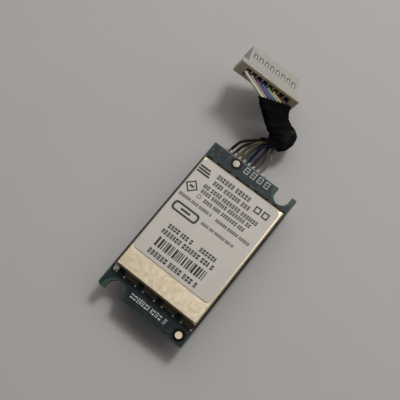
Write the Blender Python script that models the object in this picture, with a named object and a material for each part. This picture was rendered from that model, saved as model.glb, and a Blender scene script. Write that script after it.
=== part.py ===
"""A short-range radio module of a laptop, with the eight-wire lead that joins it to the main board.

The module lies label up. +Y runs along the board towards the end that the lead leaves, +X runs
across it, and the origin is on the surface that it lies on, under the middle of the board.
"""

import math

import bmesh
import bpy
from mathutils import Euler, Matrix, Vector

MM = 0.001

# Gaps that pieces keep where they are soldered, glued or pushed together
SEAT_GAP = 0.03 * MM
SLIDE_GAP = 0.04 * MM
# How deep a joined detail reaches into what carries it, and how far a cut runs past a face
SINK = 0.1 * MM
PAST = 0.5 * MM

# Circuit board, with a screw notch in two opposite corners
BOARD_WIDTH = 18.0 * MM
BOARD_LENGTH = 32.5 * MM
BOARD_THICKNESS = 1.0 * MM
CORNER_EASE = 0.45 * MM
NOTCH_WIDTH = 2.95 * MM
NOTCH_DEPTH = 2.5 * MM
NEAR_FINGER_WIDTH = 1.55 * MM
LEAD_FINGER_WIDTH = 0.95 * MM
NOTCH_LIP = 0.35 * MM
BREAK_STUB_WIDTH = 6.6 * MM
BREAK_STUB_CENTRE_X = 1.3 * MM
BREAK_STUB_DEPTH = 0.15 * MM
BREAK_NUB_RADIUS = 0.18 * MM
BREAK_NUBS_X = (-1.7 * MM, 1.5 * MM)

# Round alignment pads, one at each end of the board, and the test pads under it
FIDUCIAL_DIAMETER = 1.25 * MM
PAD_THICKNESS = 0.05 * MM
LEAD_FIDUCIAL_INSET = (5.5 * MM, 1.0 * MM)
NEAR_FIDUCIAL_INSET = (1.55 * MM, 1.5 * MM)
TEST_PAD_DIAMETER = 1.0 * MM
TEST_PAD_PITCH = 1.8 * MM
TEST_PADS = 6
TEST_PAD_ROW_Y = 3.0 * MM

# Folded shield can, whose two end walls stand on spread feet, and what it leaves of the board
CAN_LEFT_MARGIN = 0.6 * MM
CAN_RIGHT_MARGIN = 0.25 * MM
CAN_LEAD_STRIP = 3.75 * MM
CAN_NEAR_STRIP = 4.3 * MM
CAN_HEIGHT = 1.95 * MM
CAN_SHEET = 0.2 * MM
CAN_BEND_RADIUS = 0.3 * MM
CAN_CORNER_SLIT = 0.06 * MM
WINDOW_PITCH = 4.1 * MM
WINDOW_WIDTH = 1.2 * MM
WINDOW_HEIGHT = 0.95 * MM
END_WINDOW_SHIFT = -0.78 * MM
CORNER_FOOT = 1.2 * MM
FOOT_SPREAD = 0.35 * MM
FOOT_SOLE = 0.35 * MM
SOLDER_LENGTH = 0.5 * MM
SOLDER_DEPTH = 0.36 * MM
SOLDER_HEIGHT = 0.3 * MM

# Paper label on the can, and what it leaves bare beside the right bend and at the near end
LABEL_SIDE_MARGIN = 0.1 * MM
LABEL_BARE_STRIP = 4.0 * MM
LABEL_THICKNESS = 0.1 * MM
LABEL_CORNER = 0.9 * MM

# Radio circuit inside the can: width, length, height and middle on the board
RADIO_CHIP = (7.0 * MM, 7.0 * MM, 0.9 * MM, -1.4 * MM, 2.8 * MM)
MEMORY_CHIP = (6.0 * MM, 5.0 * MM, 0.8 * MM, -3.0 * MM, -5.4 * MM)
CRYSTAL = (3.2 * MM, 2.5 * MM, 0.7 * MM, 5.2 * MM, 4.4 * MM)
BAND_FILTER = (2.5 * MM, 2.0 * MM, 0.95 * MM, 4.6 * MM, -6.6 * MM)
REGULATOR = (2.9 * MM, 1.6 * MM, 1.05 * MM, 5.1 * MM, 7.6 * MM)
REGULATOR_LEG = 0.4 * MM
REGULATOR_LEG_PITCH = 0.95 * MM
REGULATOR_LEG_REACH = 0.55 * MM
REGULATOR_LEG_SHEET = 0.15 * MM
PACKAGE_STAND_OFF = 0.12 * MM
CHIP_CAPACITOR = (1.0 * MM, 0.5 * MM, 0.5 * MM)
CHIP_RESISTOR = (1.0 * MM, 0.5 * MM, 0.35 * MM)
CAP_SHARE = 0.22
CAP_PROUD = 0.02 * MM
CAPACITOR_PLACES = ((-6.2 * MM, 7.6 * MM), (-4.2 * MM, 7.6 * MM), (-2.2 * MM, 7.6 * MM))
RESISTOR_PLACES = ((-0.2 * MM, 7.6 * MM), (4.6 * MM, 0.2 * MM))

# Underside of the board: aerial at the bare end, and a spacer pad as tall as the header
AERIAL = (7.0 * MM, 2.0 * MM, 1.1 * MM)
AERIAL_CENTRE_X = 1.6 * MM
AERIAL_INSET = 0.55 * MM
UNDERSIDE_PLACES = ((5.6 * MM, 8.6 * MM), (5.6 * MM, 6.8 * MM))
PAD_WIDTH = 12.0 * MM
PAD_LENGTH = 6.0 * MM
PAD_INSET = 4.65 * MM
PAD_CORNER = 0.5 * MM

# Lead: eight wires with a crimped contact on each end
WAYS = 8
WIRE_DIAMETER = 0.56 * MM
CONTACT_SHEET = 0.12 * MM
CONTACT_NECK = 0.36 * MM
CONTACT_BOX_SHARE = 0.55
CONTACT_GRIP = 0.85
CONTACT_TAIL_SHARE = 0.67

# Header under the lead end of the board
HEADER_PITCH = 1.0 * MM
HEADER_HEIGHT = 2.95 * MM
HEADER_SIDE_WALL = 1.0 * MM
HEADER_DEPTH = 4.2 * MM
HEADER_BACK_WALL = 1.0 * MM
HEADER_SIDE_INSET = 0.82 * MM
HEADER_INSET = 0.55 * MM
HEADER_FRONT_STEP = 0.22 * MM
HEADER_STEP_DEPTH = 1.3 * MM
PIN_SIZE = 0.26 * MM
PIN_FOOT_LENGTH = 0.9 * MM
ANCHOR_THICKNESS = 0.25 * MM
ANCHOR_WIDTH = 1.3 * MM
ANCHOR_HEIGHT = 1.5 * MM
ANCHOR_FOOT = 0.7 * MM

# Plug in the header
MODULE_NOSE_HEIGHT = 1.9 * MM
MODULE_NOSE_SIDE_WALL = 0.32 * MM
MODULE_NOSE_DEPTH = 3.1 * MM
MODULE_SHOULDER_HEIGHT = 2.55 * MM
MODULE_SHOULDER_OVERLAP = 0.5 * MM
MODULE_SHOULDER_DEPTH = 0.95 * MM
MODULE_CELL_DEPTH = 0.6 * MM
MODULE_CELL_WALL = 0.28 * MM
MODULE_CELL_FLOOR = 0.4 * MM
MODULE_CAVITY_WIDTH = 0.74 * MM
MODULE_CAVITY_HEIGHT = 1.0 * MM
MODULE_FRONT_WALL = 0.4 * MM
MODULE_WIRE_DEPTH = 1.1 * MM

# Plug for the laptop's main board
LAPTOP_PITCH = 1.25 * MM
LAPTOP_SIDE_WALL = 0.62 * MM
LAPTOP_HEIGHT = 3.1 * MM
LAPTOP_DEPTH = 5.6 * MM
LAPTOP_FLANGE_OVERHANG = 1.05 * MM
LAPTOP_FLANGE_DEPTH = 1.1 * MM
LAPTOP_NOSE_CHAMFER = 0.2 * MM
LAPTOP_CAVITY_WIDTH = 0.95 * MM
LAPTOP_CAVITY_HEIGHT = 1.3 * MM
LAPTOP_MOUTH_WIDTH = 1.02 * MM
LAPTOP_MOUTH_HEIGHT = 1.9 * MM
LAPTOP_MOUTH_DEPTH = 1.5 * MM
LAPTOP_FRONT_WALL = 0.8 * MM
LAPTOP_PIN_HOLE = 0.6 * MM
LAPTOP_WIRE_DEPTH = 1.6 * MM
LANCE_WIDTH = 0.84 * MM
LANCE_SLOT = 0.15 * MM
LANCE_CROWN = 0.3 * MM
LANCE_LENGTH = 1.5 * MM
LANCE_TIP_INSET = 1.75 * MM
KEY_GROOVE_WIDTH = 0.7 * MM
KEY_GROOVE_DEPTH = 0.3 * MM
KEY_GROOVE_LENGTH = 3.2 * MM
HOUSING_EDGE = 0.07 * MM

# The far plug hangs on its stiff lead: middle of its wire face, and its turn in degrees
LAPTOP_PLUG_AT = (-7.7 * MM, 29.2 * MM, 7.2 * MM)
LAPTOP_PLUG_TURN = (-25.0, 25.5, 10.0)

# Tape wrap round the wires: left edge, right edge and thickness at each station, in millimetres,
# from the mouth at the far plug, round the bend, to the mouth at the module
WRAP_STATIONS = (
    ((-7.35, 26.45, 8.25), (-2.45, 29.4, 5.55), 1.45),
    ((-5.85, 25.4, 7.25), (-2.05, 28.5, 5.0), 1.55),
    ((-4.6, 24.7, 6.2), (-1.5, 27.6, 4.5), 1.7),
    ((-3.3, 24.0, 5.2), (-0.5, 27.1, 4.0), 1.95),
    ((-2.4, 23.6, 4.6), (0.7, 26.7, 3.5), 2.15),
    ((-2.0, 23.4, 4.2), (1.6, 26.2, 3.2), 2.25),
    ((-1.9, 23.15, 4.0), (1.9, 25.2, 3.0), 2.25),
    ((-2.0, 22.9, 3.8), (1.85, 24.2, 2.9), 2.15),
    ((-2.3, 22.6, 3.7), (1.6, 23.2, 2.85), 2.15),
    ((-2.8, 22.3, 3.65), (1.2, 22.6, 2.8), 2.15),
    ((-3.2, 22.0, 3.65), (0.65, 22.1, 2.8), 2.1),
)
WRAP_WALL = 0.15 * MM
WRAP_ROUND_POINTS = 20
WRAP_SQUARENESS = 4.5
WRAP_STEPS = 2

# Inside the wrap the wires lie in two layers and change over like a belt, because they leave it
# in the opposite order. They do it between these distances from the far mouth, where they spread.
# The lower layer lies that share of a step aside from the upper one.
WRAP_CLEARANCE = 0.12 * MM
BELT_START = 1.6 * MM
BELT_END = 8.2 * MM
SPREAD_LENGTH = 1.9 * MM
LAYER_STAGGER = 0.25

# Wires by colour, from the left edge of the board: how each rises from its cell to the wrap, as
# points in millimetres chosen along its visible route
WIRE_ROUTES = (
    ("black", (0.02, 0.02, 0.02), ((-6.3, 18.3, 1.7), (-5.7, 19.7, 2.4), (-4.3, 20.8, 3.1))),
    ("brown", (0.16, 0.04, 0.03), ((-5.35, 18.3, 1.7), (-4.85, 19.6, 2.1), (-3.8, 20.7, 2.6))),
    ("yellow", (0.55, 0.46, 0.22), ((-4.4, 18.3, 1.7), (-4.1, 19.5, 2.3), (-3.3, 20.6, 3.3))),
    ("green", (0.12, 0.30, 0.20), ((-3.45, 18.3, 1.7), (-3.3, 19.3, 2.1), (-2.6, 20.6, 2.6))),
    ("blue", (0.03, 0.07, 0.28), ((-2.45, 18.2, 1.7), (-2.35, 19.2, 2.2), (-1.95, 20.6, 3.2))),
    ("purple", (0.20, 0.10, 0.30), ((-1.45, 18.2, 1.7), (-1.35, 19.0, 2.0), (-1.1, 20.5, 2.6))),
    ("grey", (0.32, 0.31, 0.30), ((-0.45, 18.2, 1.6), (-0.4, 19.0, 1.9), (-0.4, 20.4, 3.0))),
    ("white", (0.75, 0.73, 0.68), ((0.55, 18.2, 1.6), (0.6, 19.0, 1.8), (0.4, 20.4, 2.4))),
)
WIRE_POINT_STEP = 0.65 * MM
ENTRY_RUN = 0.55 * MM
LEAVE_RUN = 0.2 * MM
SOCKET_RUN = 0.45 * MM

# Sizes, heights and places that follow from those above
CAN_WIDTH = BOARD_WIDTH - CAN_LEFT_MARGIN - CAN_RIGHT_MARGIN
CAN_CENTRE_X = (CAN_LEFT_MARGIN - CAN_RIGHT_MARGIN) / 2
CAN_LENGTH = BOARD_LENGTH - CAN_LEAD_STRIP - CAN_NEAR_STRIP
CAN_CENTRE_Y = (CAN_NEAR_STRIP - CAN_LEAD_STRIP) / 2
BOARD_UNDERSIDE = HEADER_HEIGHT + SEAT_GAP
BOARD_TOP = BOARD_UNDERSIDE + BOARD_THICKNESS
CAN_TOP = BOARD_TOP + CAN_HEIGHT
UNDER_SEAT = BOARD_UNDERSIDE - SEAT_GAP
TOP_SEAT = BOARD_TOP + SEAT_GAP
HEADER_FRONT_Y = BOARD_LENGTH / 2 - HEADER_INSET
HEADER_BACK_Y = HEADER_FRONT_Y - HEADER_DEPTH
HEADER_MIDDLE_Z = HEADER_HEIGHT / 2
MODULE_NOSE_WIDTH = (WAYS - 1) * HEADER_PITCH + MODULE_CAVITY_WIDTH + 2 * MODULE_NOSE_SIDE_WALL
HEADER_WIDTH = MODULE_NOSE_WIDTH + 2 * (SLIDE_GAP + HEADER_SIDE_WALL)
HEADER_CENTRE_X = -BOARD_WIDTH / 2 + HEADER_SIDE_INSET + HEADER_WIDTH / 2
MODULE_FACE_Y = HEADER_FRONT_Y + SLIDE_GAP + MODULE_SHOULDER_DEPTH
MODULE_TIP = MODULE_SHOULDER_DEPTH + MODULE_NOSE_DEPTH
MODULE_CONTACT_END = MODULE_TIP - MODULE_FRONT_WALL - SLIDE_GAP
MODULE_CONTACT_BOX = CONTACT_BOX_SHARE * (MODULE_CONTACT_END - MODULE_WIRE_DEPTH)
LAPTOP_BODY_WIDTH = (WAYS - 1) * LAPTOP_PITCH + LAPTOP_CAVITY_WIDTH + 2 * LAPTOP_SIDE_WALL
LAPTOP_CONTACT_END = LAPTOP_DEPTH - LAPTOP_FRONT_WALL - SLIDE_GAP
LAPTOP_CONTACT_BOX = CONTACT_BOX_SHARE * (LAPTOP_CONTACT_END - LAPTOP_WIRE_DEPTH)


def clear_scene():
    for thing in list(bpy.data.objects):
        bpy.data.objects.remove(thing, do_unlink=True)


def finish(name, colour, roughness, metallic=0.0):
    """A plain Principled material."""
    material = bpy.data.materials.new(name)
    material.use_nodes = True
    shader = material.node_tree.nodes["Principled BSDF"]
    shader.inputs["Base Color"].default_value = (*colour, 1.0)
    shader.inputs["Roughness"].default_value = roughness
    shader.inputs["Metallic"].default_value = metallic
    material.diffuse_color = (*colour, 1.0)
    return material


def mesh_of(name, shape, material=None):
    """Turns a bmesh into mesh data with its faces pointing out."""
    bmesh.ops.recalc_face_normals(shape, faces=shape.faces)
    mesh = bpy.data.meshes.new(name)
    shape.to_mesh(mesh)
    shape.free()
    if material:
        mesh.materials.append(material)
    return mesh


def place_mesh(name, mesh, at=(0.0, 0.0, 0.0), parent=None):
    thing = bpy.data.objects.new(name, mesh)
    thing.location = at
    thing.parent = parent
    bpy.context.scene.collection.objects.link(thing)
    return thing


def add_object(name, shape, material, parent=None):
    return place_mesh(name, mesh_of(name, shape, material), parent=parent)


def add_copies(name, mesh, places, parent=None):
    """Numbered copies of one mesh."""
    for number, place in enumerate(places, 1):
        place_mesh(f"{name}_{number}", mesh, place, parent)


def combine(target, name, shape, operation):
    """Joins a shape to a target, or cuts it out, through a hidden guide object."""
    guide = place_mesh(name, mesh_of(name, shape), parent=target.parent)
    guide.hide_render = True
    guide.display_type = "WIRE"
    step = target.modifiers.new(name, "BOOLEAN")
    step.operation = operation
    step.object = guide


def ease_edges(thing, width, segments=1):
    bevel = thing.modifiers.new("eased_edges", "BEVEL")
    bevel.width = width
    bevel.segments = segments
    bevel.limit_method = "ANGLE"
    bevel.angle_limit = math.radians(50)


def shade_round(thing, angle):
    thing.data.shade_smooth()
    thing.data.set_sharp_from_angle(angle=math.radians(angle))


def skin(shape, loops, closed=False):
    """Skins loops of points that have the same count, and caps the ends or joins them."""
    rings = [[shape.verts.new(point) for point in loop] for loop in loops]
    for near, far in zip(rings, rings[1:] + rings[:1] if closed else rings[1:]):
        for i in range(len(near)):
            j = (i + 1) % len(near)
            shape.faces.new((near[i], near[j], far[j], far[i]))
    if not closed:
        shape.faces.new(rings[0])
        shape.faces.new(rings[-1])


def add_prism(shape, outline, z0, z1):
    """An outline in plan, raised from one height to another."""
    skin(shape, [[(x, y, z) for x, y in outline] for z in (z0, z1)])


def add_bar(shape, profile, x0, x1):
    """A profile of y and z, run across the board."""
    skin(shape, [[(x, y, z) for y, z in profile] for x in (x0, x1)])


def add_box(shape, low, high):
    """A box between two corners."""
    (x0, y0, z0), (x1, y1, z1) = low, high
    add_prism(shape, ((x0, y0), (x1, y0), (x1, y1), (x0, y1)), z0, z1)


def arc(centre, radius, start, end, steps):
    """Points on an arc, with its angles in degrees."""
    turns = [math.radians(start + (end - start) * k / steps) for k in range(steps + 1)]
    return [(centre[0] + radius * math.cos(t), centre[1] + radius * math.sin(t)) for t in turns]


def circle(x, y, diameter, steps=20):
    return arc((x, y), diameter / 2, 0, 360 - 360 / steps, steps - 1)


def rounded_rectangle(x0, y0, x1, y1, radius, steps=4):
    corners = ((x0, y0, 180), (x1, y0, 270), (x1, y1, 0), (x0, y1, 90))
    outline = []
    for x, y, start in corners:
        centre = (min(max(x, x0 + radius), x1 - radius), min(max(y, y0 + radius), y1 - radius))
        outline += arc(centre, radius, start, start + 90, steps)
    return outline


def way_offsets(pitch):
    """Places of the ways along a row, about its middle."""
    return [(i - (WAYS - 1) / 2) * pitch for i in range(WAYS)]


def smooth_curve(points, steps):
    """A Catmull-Rom curve through the points, with some steps between each two."""
    points = [Vector(point) for point in points]
    ends = [2 * points[0] - points[1], *points, 2 * points[-1] - points[-2]]
    dense = []
    for a, b, c, d in zip(ends, ends[1:], ends[2:], ends[3:]):
        for k in range(steps):
            t = k / steps
            bend = (2 * a - 5 * b + 4 * c - d) * t**2 + (3 * b - a - 3 * c + d) * t**3
            dense.append(0.5 * (2 * b + (c - a) * t + bend))
    return [*dense, points[-1]]


def even_points(points, step):
    """The same line with its points about a step apart."""
    lengths = [0.0]
    for a, b in zip(points, points[1:]):
        lengths.append(lengths[-1] + (b - a).length)
    count = max(4, round(lengths[-1] / step))
    even = []
    span = 0
    for k in range(count + 1):
        wanted = lengths[-1] * k / count
        while span < len(points) - 2 and lengths[span + 1] < wanted:
            span += 1
        share = (wanted - lengths[span]) / (lengths[span + 1] - lengths[span])
        even.append(points[span].lerp(points[span + 1], share))
    return even


def board_outline():
    """The board in plan, anticlockwise from its near left corner."""
    x0, x1 = -BOARD_WIDTH / 2, BOARD_WIDTH / 2
    y0, y1 = -BOARD_LENGTH / 2, BOARD_LENGTH / 2
    radius = NOTCH_WIDTH / 2
    near_x = x0 + NEAR_FINGER_WIDTH + radius
    lead_x = x1 - LEAD_FINGER_WIDTH - radius
    stub_left = BREAK_STUB_CENTRE_X - BREAK_STUB_WIDTH / 2
    stub_right = BREAK_STUB_CENTRE_X + BREAK_STUB_WIDTH / 2
    stub_y = y0 - BREAK_STUB_DEPTH
    outline = arc((x0 + CORNER_EASE, y0 + CORNER_EASE), CORNER_EASE, 180, 270, 3)
    outline.append((near_x - radius, y0))
    outline += arc((near_x, y0 + NOTCH_DEPTH - radius), radius, 180, 0, 14)
    outline += [(near_x + radius + NOTCH_LIP, y0), (stub_left, y0)]
    outline.append((stub_left + BREAK_STUB_DEPTH, stub_y))
    for nub_x in BREAK_NUBS_X:
        outline += arc((nub_x, stub_y), BREAK_NUB_RADIUS, 180, 360, 5)
    outline += [(stub_right - BREAK_STUB_DEPTH, stub_y), (stub_right, y0)]
    outline += arc((x1 - CORNER_EASE, y0 + CORNER_EASE), CORNER_EASE, 270, 360, 3)
    outline += [(x1, y1), (lead_x + radius, y1)]
    outline += arc((lead_x, y1 - NOTCH_DEPTH + radius), radius, 0, -180, 14)
    outline += [(lead_x - radius, y1), (x0, y1)]
    return outline


def solder_places():
    """Both ends of each foot of the can's end walls."""
    half = CAN_WIDTH / 2
    edges = [-half, *window_edges(CAN_WIDTH, END_WINDOW_SHIFT), half]
    y = CAN_LENGTH / 2 + FOOT_SPREAD + FOOT_SOLE + SEAT_GAP + SOLDER_DEPTH / 2
    places = []
    for left, right in zip(edges[::2], edges[1::2]):
        inset = SOLDER_LENGTH / 2
        across = (left + inset, right - inset) if right - left > 2 * SOLDER_LENGTH else ((left + right) / 2,)
        places += [(CAN_CENTRE_X + x, CAN_CENTRE_Y + side * y) for x in across for side in (-1, 1)]
    return places


def add_solder(shape, x, y, rings=3, around=8):
    """A bead of solder: half an ellipsoid standing on the board."""
    loops = [[(x + SOLDER_LENGTH / 2 * math.cos(math.tau * k / around),
               y + SOLDER_DEPTH / 2 * math.sin(math.tau * k / around), BOARD_TOP - SINK)
              for k in range(around)]]
    for ring in range(rings):
        tilt = math.radians(90 * ring / rings)
        loops.append([
            (x + SOLDER_LENGTH / 2 * math.cos(tilt) * math.cos(math.tau * k / around),
             y + SOLDER_DEPTH / 2 * math.cos(tilt) * math.sin(math.tau * k / around),
             BOARD_TOP + SOLDER_HEIGHT * math.sin(tilt))
            for k in range(around)
        ])
    skin(shape, loops)


def make_circuit_board():
    """The board with its copper pads and the solder that holds the can."""
    half_x, half_y = BOARD_WIDTH / 2, BOARD_LENGTH / 2
    shape = bmesh.new()
    add_prism(shape, board_outline(), BOARD_UNDERSIDE, BOARD_TOP)
    board = add_object("circuit_board", shape, finish("solder_mask", (0.012, 0.05, 0.06), 0.35))
    pads = bmesh.new()
    fiducials = (
        (-half_x + LEAD_FIDUCIAL_INSET[0], half_y - LEAD_FIDUCIAL_INSET[1]),
        (half_x - NEAR_FIDUCIAL_INSET[0], -half_y + NEAR_FIDUCIAL_INSET[1]),
    )
    for x, y in fiducials:
        add_prism(pads, circle(x, y, FIDUCIAL_DIAMETER), BOARD_TOP - SINK, BOARD_TOP + PAD_THICKNESS)
    for k in range(TEST_PADS):
        x = (k - (TEST_PADS - 1) / 2) * TEST_PAD_PITCH
        add_prism(pads, circle(x, TEST_PAD_ROW_Y, TEST_PAD_DIAMETER, 12),
                  BOARD_UNDERSIDE - PAD_THICKNESS, BOARD_UNDERSIDE + SINK)
    for x, y in solder_places():
        add_solder(pads, x, y)
    combine(board, "board_pads", pads, "UNION")


def window_edges(wall, shift):
    """Both edges of each window that a wall has room for, about its middle."""
    count = int((wall - 2 * CORNER_FOOT - WINDOW_WIDTH) / WINDOW_PITCH) + 1
    middles = [shift + (k - (count - 1) / 2) * WINDOW_PITCH for k in range(count)]
    return [middle + side * WINDOW_WIDTH / 2 for middle in middles for side in (-1, 1)]


def make_shield_can():
    """One blank of sheet folded down along its four sides, with the corners left open."""
    half_x, half_y = CAN_WIDTH / 2, CAN_LENGTH / 2
    radius = CAN_BEND_RADIUS
    floor = SEAT_GAP - CAN_HEIGHT
    window_top = floor + WINDOW_HEIGHT
    sole = floor + CAN_SHEET
    bend = arc((-radius, -radius), radius, 90, 0, 3)
    spread_feet = [(FOOT_SPREAD, sole), (FOOT_SPREAD + FOOT_SOLE, sole)]
    short = CAN_SHEET + CAN_CORNER_SLIT
    sides = (
        ((0, -1), half_y, half_x, END_WINDOW_SHIFT, 0.0, spread_feet),
        ((1, 0), half_x, half_y, 0.0, short, [(0.0, floor)]),
        ((0, 1), half_y, half_x, -END_WINDOW_SHIFT, 0.0, spread_feet),
        ((-1, 0), half_x, half_y, 0.0, short, [(0.0, floor)]),
    )
    shape = bmesh.new()
    top = []
    for (out_x, out_y), reach, half, shift, drawn_in, feet in sides:
        stations = [-half, *window_edges(2 * half, shift), half]
        profile = bend + [(0.0, -radius - CAN_CORNER_SLIT), (0.0, window_top)] + feet
        rows = []
        for depth, (out, down) in enumerate(profile):
            limit = half - radius if depth < len(bend) else half - drawn_in
            row = []
            for station in stations:
                along = max(-limit, min(limit, station))
                x = out_x * (reach + out) - out_y * along
                y = out_y * (reach + out) + out_x * along
                row.append(shape.verts.new((x + CAN_CENTRE_X, y + CAN_CENTRE_Y, CAN_TOP + down)))
            rows.append(row)
        for depth, (upper, lower) in enumerate(zip(rows, rows[1:])):
            for k in range(len(stations) - 1):
                if k % 2 == 0 or depth <= len(bend):
                    shape.faces.new((upper[k], upper[k + 1], lower[k + 1], lower[k]))
        top += rows[0]
    shape.faces.new(top)
    bmesh.ops.remove_doubles(shape, verts=shape.verts, dist=SEAT_GAP / 10)
    can = add_object("shield_can", shape, finish("tinned_sheet", (0.72, 0.68, 0.60), 0.3, 1.0))
    thicken = can.modifiers.new("sheet", "SOLIDIFY")
    thicken.thickness = CAN_SHEET
    thicken.offset = -1.0
    thicken.use_even_offset = True


def make_product_label():
    """The label starts where the can's far and left bends end."""
    shape = bmesh.new()
    x0 = CAN_CENTRE_X - CAN_WIDTH / 2 + CAN_BEND_RADIUS
    x1 = CAN_CENTRE_X + CAN_WIDTH / 2 - CAN_BEND_RADIUS - LABEL_SIDE_MARGIN
    y0 = CAN_CENTRE_Y - CAN_LENGTH / 2 + LABEL_BARE_STRIP
    y1 = CAN_CENTRE_Y + CAN_LENGTH / 2 - CAN_BEND_RADIUS
    outline = rounded_rectangle(x0, y0, x1, y1, LABEL_CORNER)
    base = CAN_TOP + SEAT_GAP
    add_prism(shape, outline, base, base + LABEL_THICKNESS)
    add_object("product_label", shape, finish("label_paper", (0.48, 0.44, 0.38), 0.55))


def make_package(name, sizes, colour, roughness, metallic=0.0):
    """A moulded or lidded package standing on its joints."""
    width, length, height, x, y = sizes
    base = BOARD_TOP + PACKAGE_STAND_OFF
    shape = bmesh.new()
    add_box(shape, (x - width / 2, y - length / 2, base), (x + width / 2, y + length / 2, base + height))
    package = add_object(name, shape, finish(name + "_finish", colour, roughness, metallic))
    ease_edges(package, HOUSING_EDGE)


def make_regulator():
    """A small package with three bent legs on one side and two on the other."""
    width, length, height, x, y = REGULATOR
    sheet = REGULATOR_LEG_SHEET
    base = TOP_SEAT
    shape = bmesh.new()
    add_box(shape, (x - width / 2, y - length / 2, base + sheet),
            (x + width / 2, y + length / 2, base + height))
    body = add_object("voltage_regulator", shape, finish("moulded_black", (0.02, 0.02, 0.02), 0.5))
    legs = bmesh.new()
    for side, places in ((-1, (-1, 0, 1)), (1, (-1, 1))):
        inner = y + side * (length / 2 - sheet)
        knee = y + side * (length / 2 + sheet)
        outer = y + side * (length / 2 + REGULATOR_LEG_REACH)
        profile = ((inner, base + 2 * sheet), (knee, base + 2 * sheet), (knee, base), (outer, base),
                   (outer, base + sheet), (knee + side * sheet, base + sheet),
                   (knee + side * sheet, base + 3 * sheet), (inner, base + 3 * sheet))
        for place in places:
            at = x + place * REGULATOR_LEG_PITCH
            add_bar(legs, profile, at - REGULATOR_LEG / 2, at + REGULATOR_LEG / 2)
    combine(body, "voltage_regulator_legs", legs, "UNION")


def chip_mesh(name, size, colour):
    """A chip part standing at its origin: a ceramic middle between two slightly larger caps."""
    length, width, height = size
    cap = length / 2 - CAP_SHARE * length
    stations = ((-length / 2, 0.0), (-cap, 0.0), (-cap, CAP_PROUD),
                (cap, CAP_PROUD), (cap, 0.0), (length / 2, 0.0))
    loops = []
    for x, inset in stations:
        across = width / 2 - inset
        loops.append([(x, -across, inset), (x, across, inset),
                      (x, across, height - inset), (x, -across, height - inset)])
    shape = bmesh.new()
    skin(shape, loops)
    return mesh_of(name, shape, finish(name + "_finish", colour, 0.45))


def make_small_chips():
    capacitor = chip_mesh("chip_capacitor", CHIP_CAPACITOR, (0.45, 0.32, 0.2))
    resistor = chip_mesh("chip_resistor", CHIP_RESISTOR, (0.03, 0.03, 0.03))
    aerial = chip_mesh("chip_aerial", AERIAL, (0.75, 0.74, 0.70))
    add_copies("chip_capacitor", capacitor, [(x, y, TOP_SEAT) for x, y in CAPACITOR_PLACES])
    add_copies("chip_resistor", resistor, [(x, y, TOP_SEAT) for x, y in RESISTOR_PLACES])
    below = UNDER_SEAT - CHIP_CAPACITOR[2]
    add_copies("underside_capacitor", capacitor, [(x, y, below) for x, y in UNDERSIDE_PLACES])
    aerial_y = AERIAL_INSET + AERIAL[1] / 2 - BOARD_LENGTH / 2
    place_mesh("chip_aerial", aerial, (AERIAL_CENTRE_X, aerial_y, UNDER_SEAT - AERIAL[2]))


def make_spacer_pad():
    """A stuck-on pad as thick as the header is tall, so that the board lies level."""
    shape = bmesh.new()
    near = PAD_INSET - BOARD_LENGTH / 2
    outline = rounded_rectangle(-PAD_WIDTH / 2, near, PAD_WIDTH / 2, near + PAD_LENGTH, PAD_CORNER)
    add_prism(shape, outline, 0.0, UNDER_SEAT)
    add_object("spacer_pad", shape, finish("foam", (0.05, 0.05, 0.05), 0.95))


def make_header():
    """The open-fronted header under the lead end of the board."""
    half = HEADER_WIDTH / 2
    cavity_half = MODULE_NOSE_WIDTH / 2 + SLIDE_GAP
    cavity_height = MODULE_NOSE_HEIGHT / 2 + SLIDE_GAP
    back = HEADER_BACK_Y + HEADER_BACK_WALL
    hole = PIN_SIZE / 2 + SLIDE_GAP
    shape = bmesh.new()
    add_box(shape, (HEADER_CENTRE_X - half, HEADER_BACK_Y, 0.0),
            (HEADER_CENTRE_X + half, HEADER_FRONT_Y, HEADER_HEIGHT))
    header = add_object("board_header", shape, finish("header_nylon", (0.70, 0.67, 0.58), 0.5))
    ease_edges(header, HOUSING_EDGE)
    cavity = bmesh.new()
    add_box(cavity, (HEADER_CENTRE_X - cavity_half, back, HEADER_MIDDLE_Z - cavity_height),
            (HEADER_CENTRE_X + cavity_half, HEADER_FRONT_Y + PAST, HEADER_MIDDLE_Z + cavity_height))
    combine(header, "header_cavity", cavity, "DIFFERENCE")
    holes = bmesh.new()
    for offset in way_offsets(HEADER_PITCH):
        x = HEADER_CENTRE_X + offset
        add_box(holes, (x - hole, HEADER_BACK_Y - PAST, HEADER_MIDDLE_Z - hole),
                (x + hole, back + PAST, HEADER_MIDDLE_Z + hole))
    combine(header, "header_pin_holes", holes, "DIFFERENCE")
    steps = bmesh.new()
    for side in (-1, 1):
        edges = sorted(HEADER_CENTRE_X + side * reach for reach in (half - HEADER_FRONT_STEP, half + PAST))
        add_box(steps, (edges[0], HEADER_FRONT_Y - HEADER_STEP_DEPTH, -PAST),
                (edges[1], HEADER_FRONT_Y + PAST, HEADER_HEIGHT + PAST))
    combine(header, "header_front_steps", steps, "DIFFERENCE")


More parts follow.
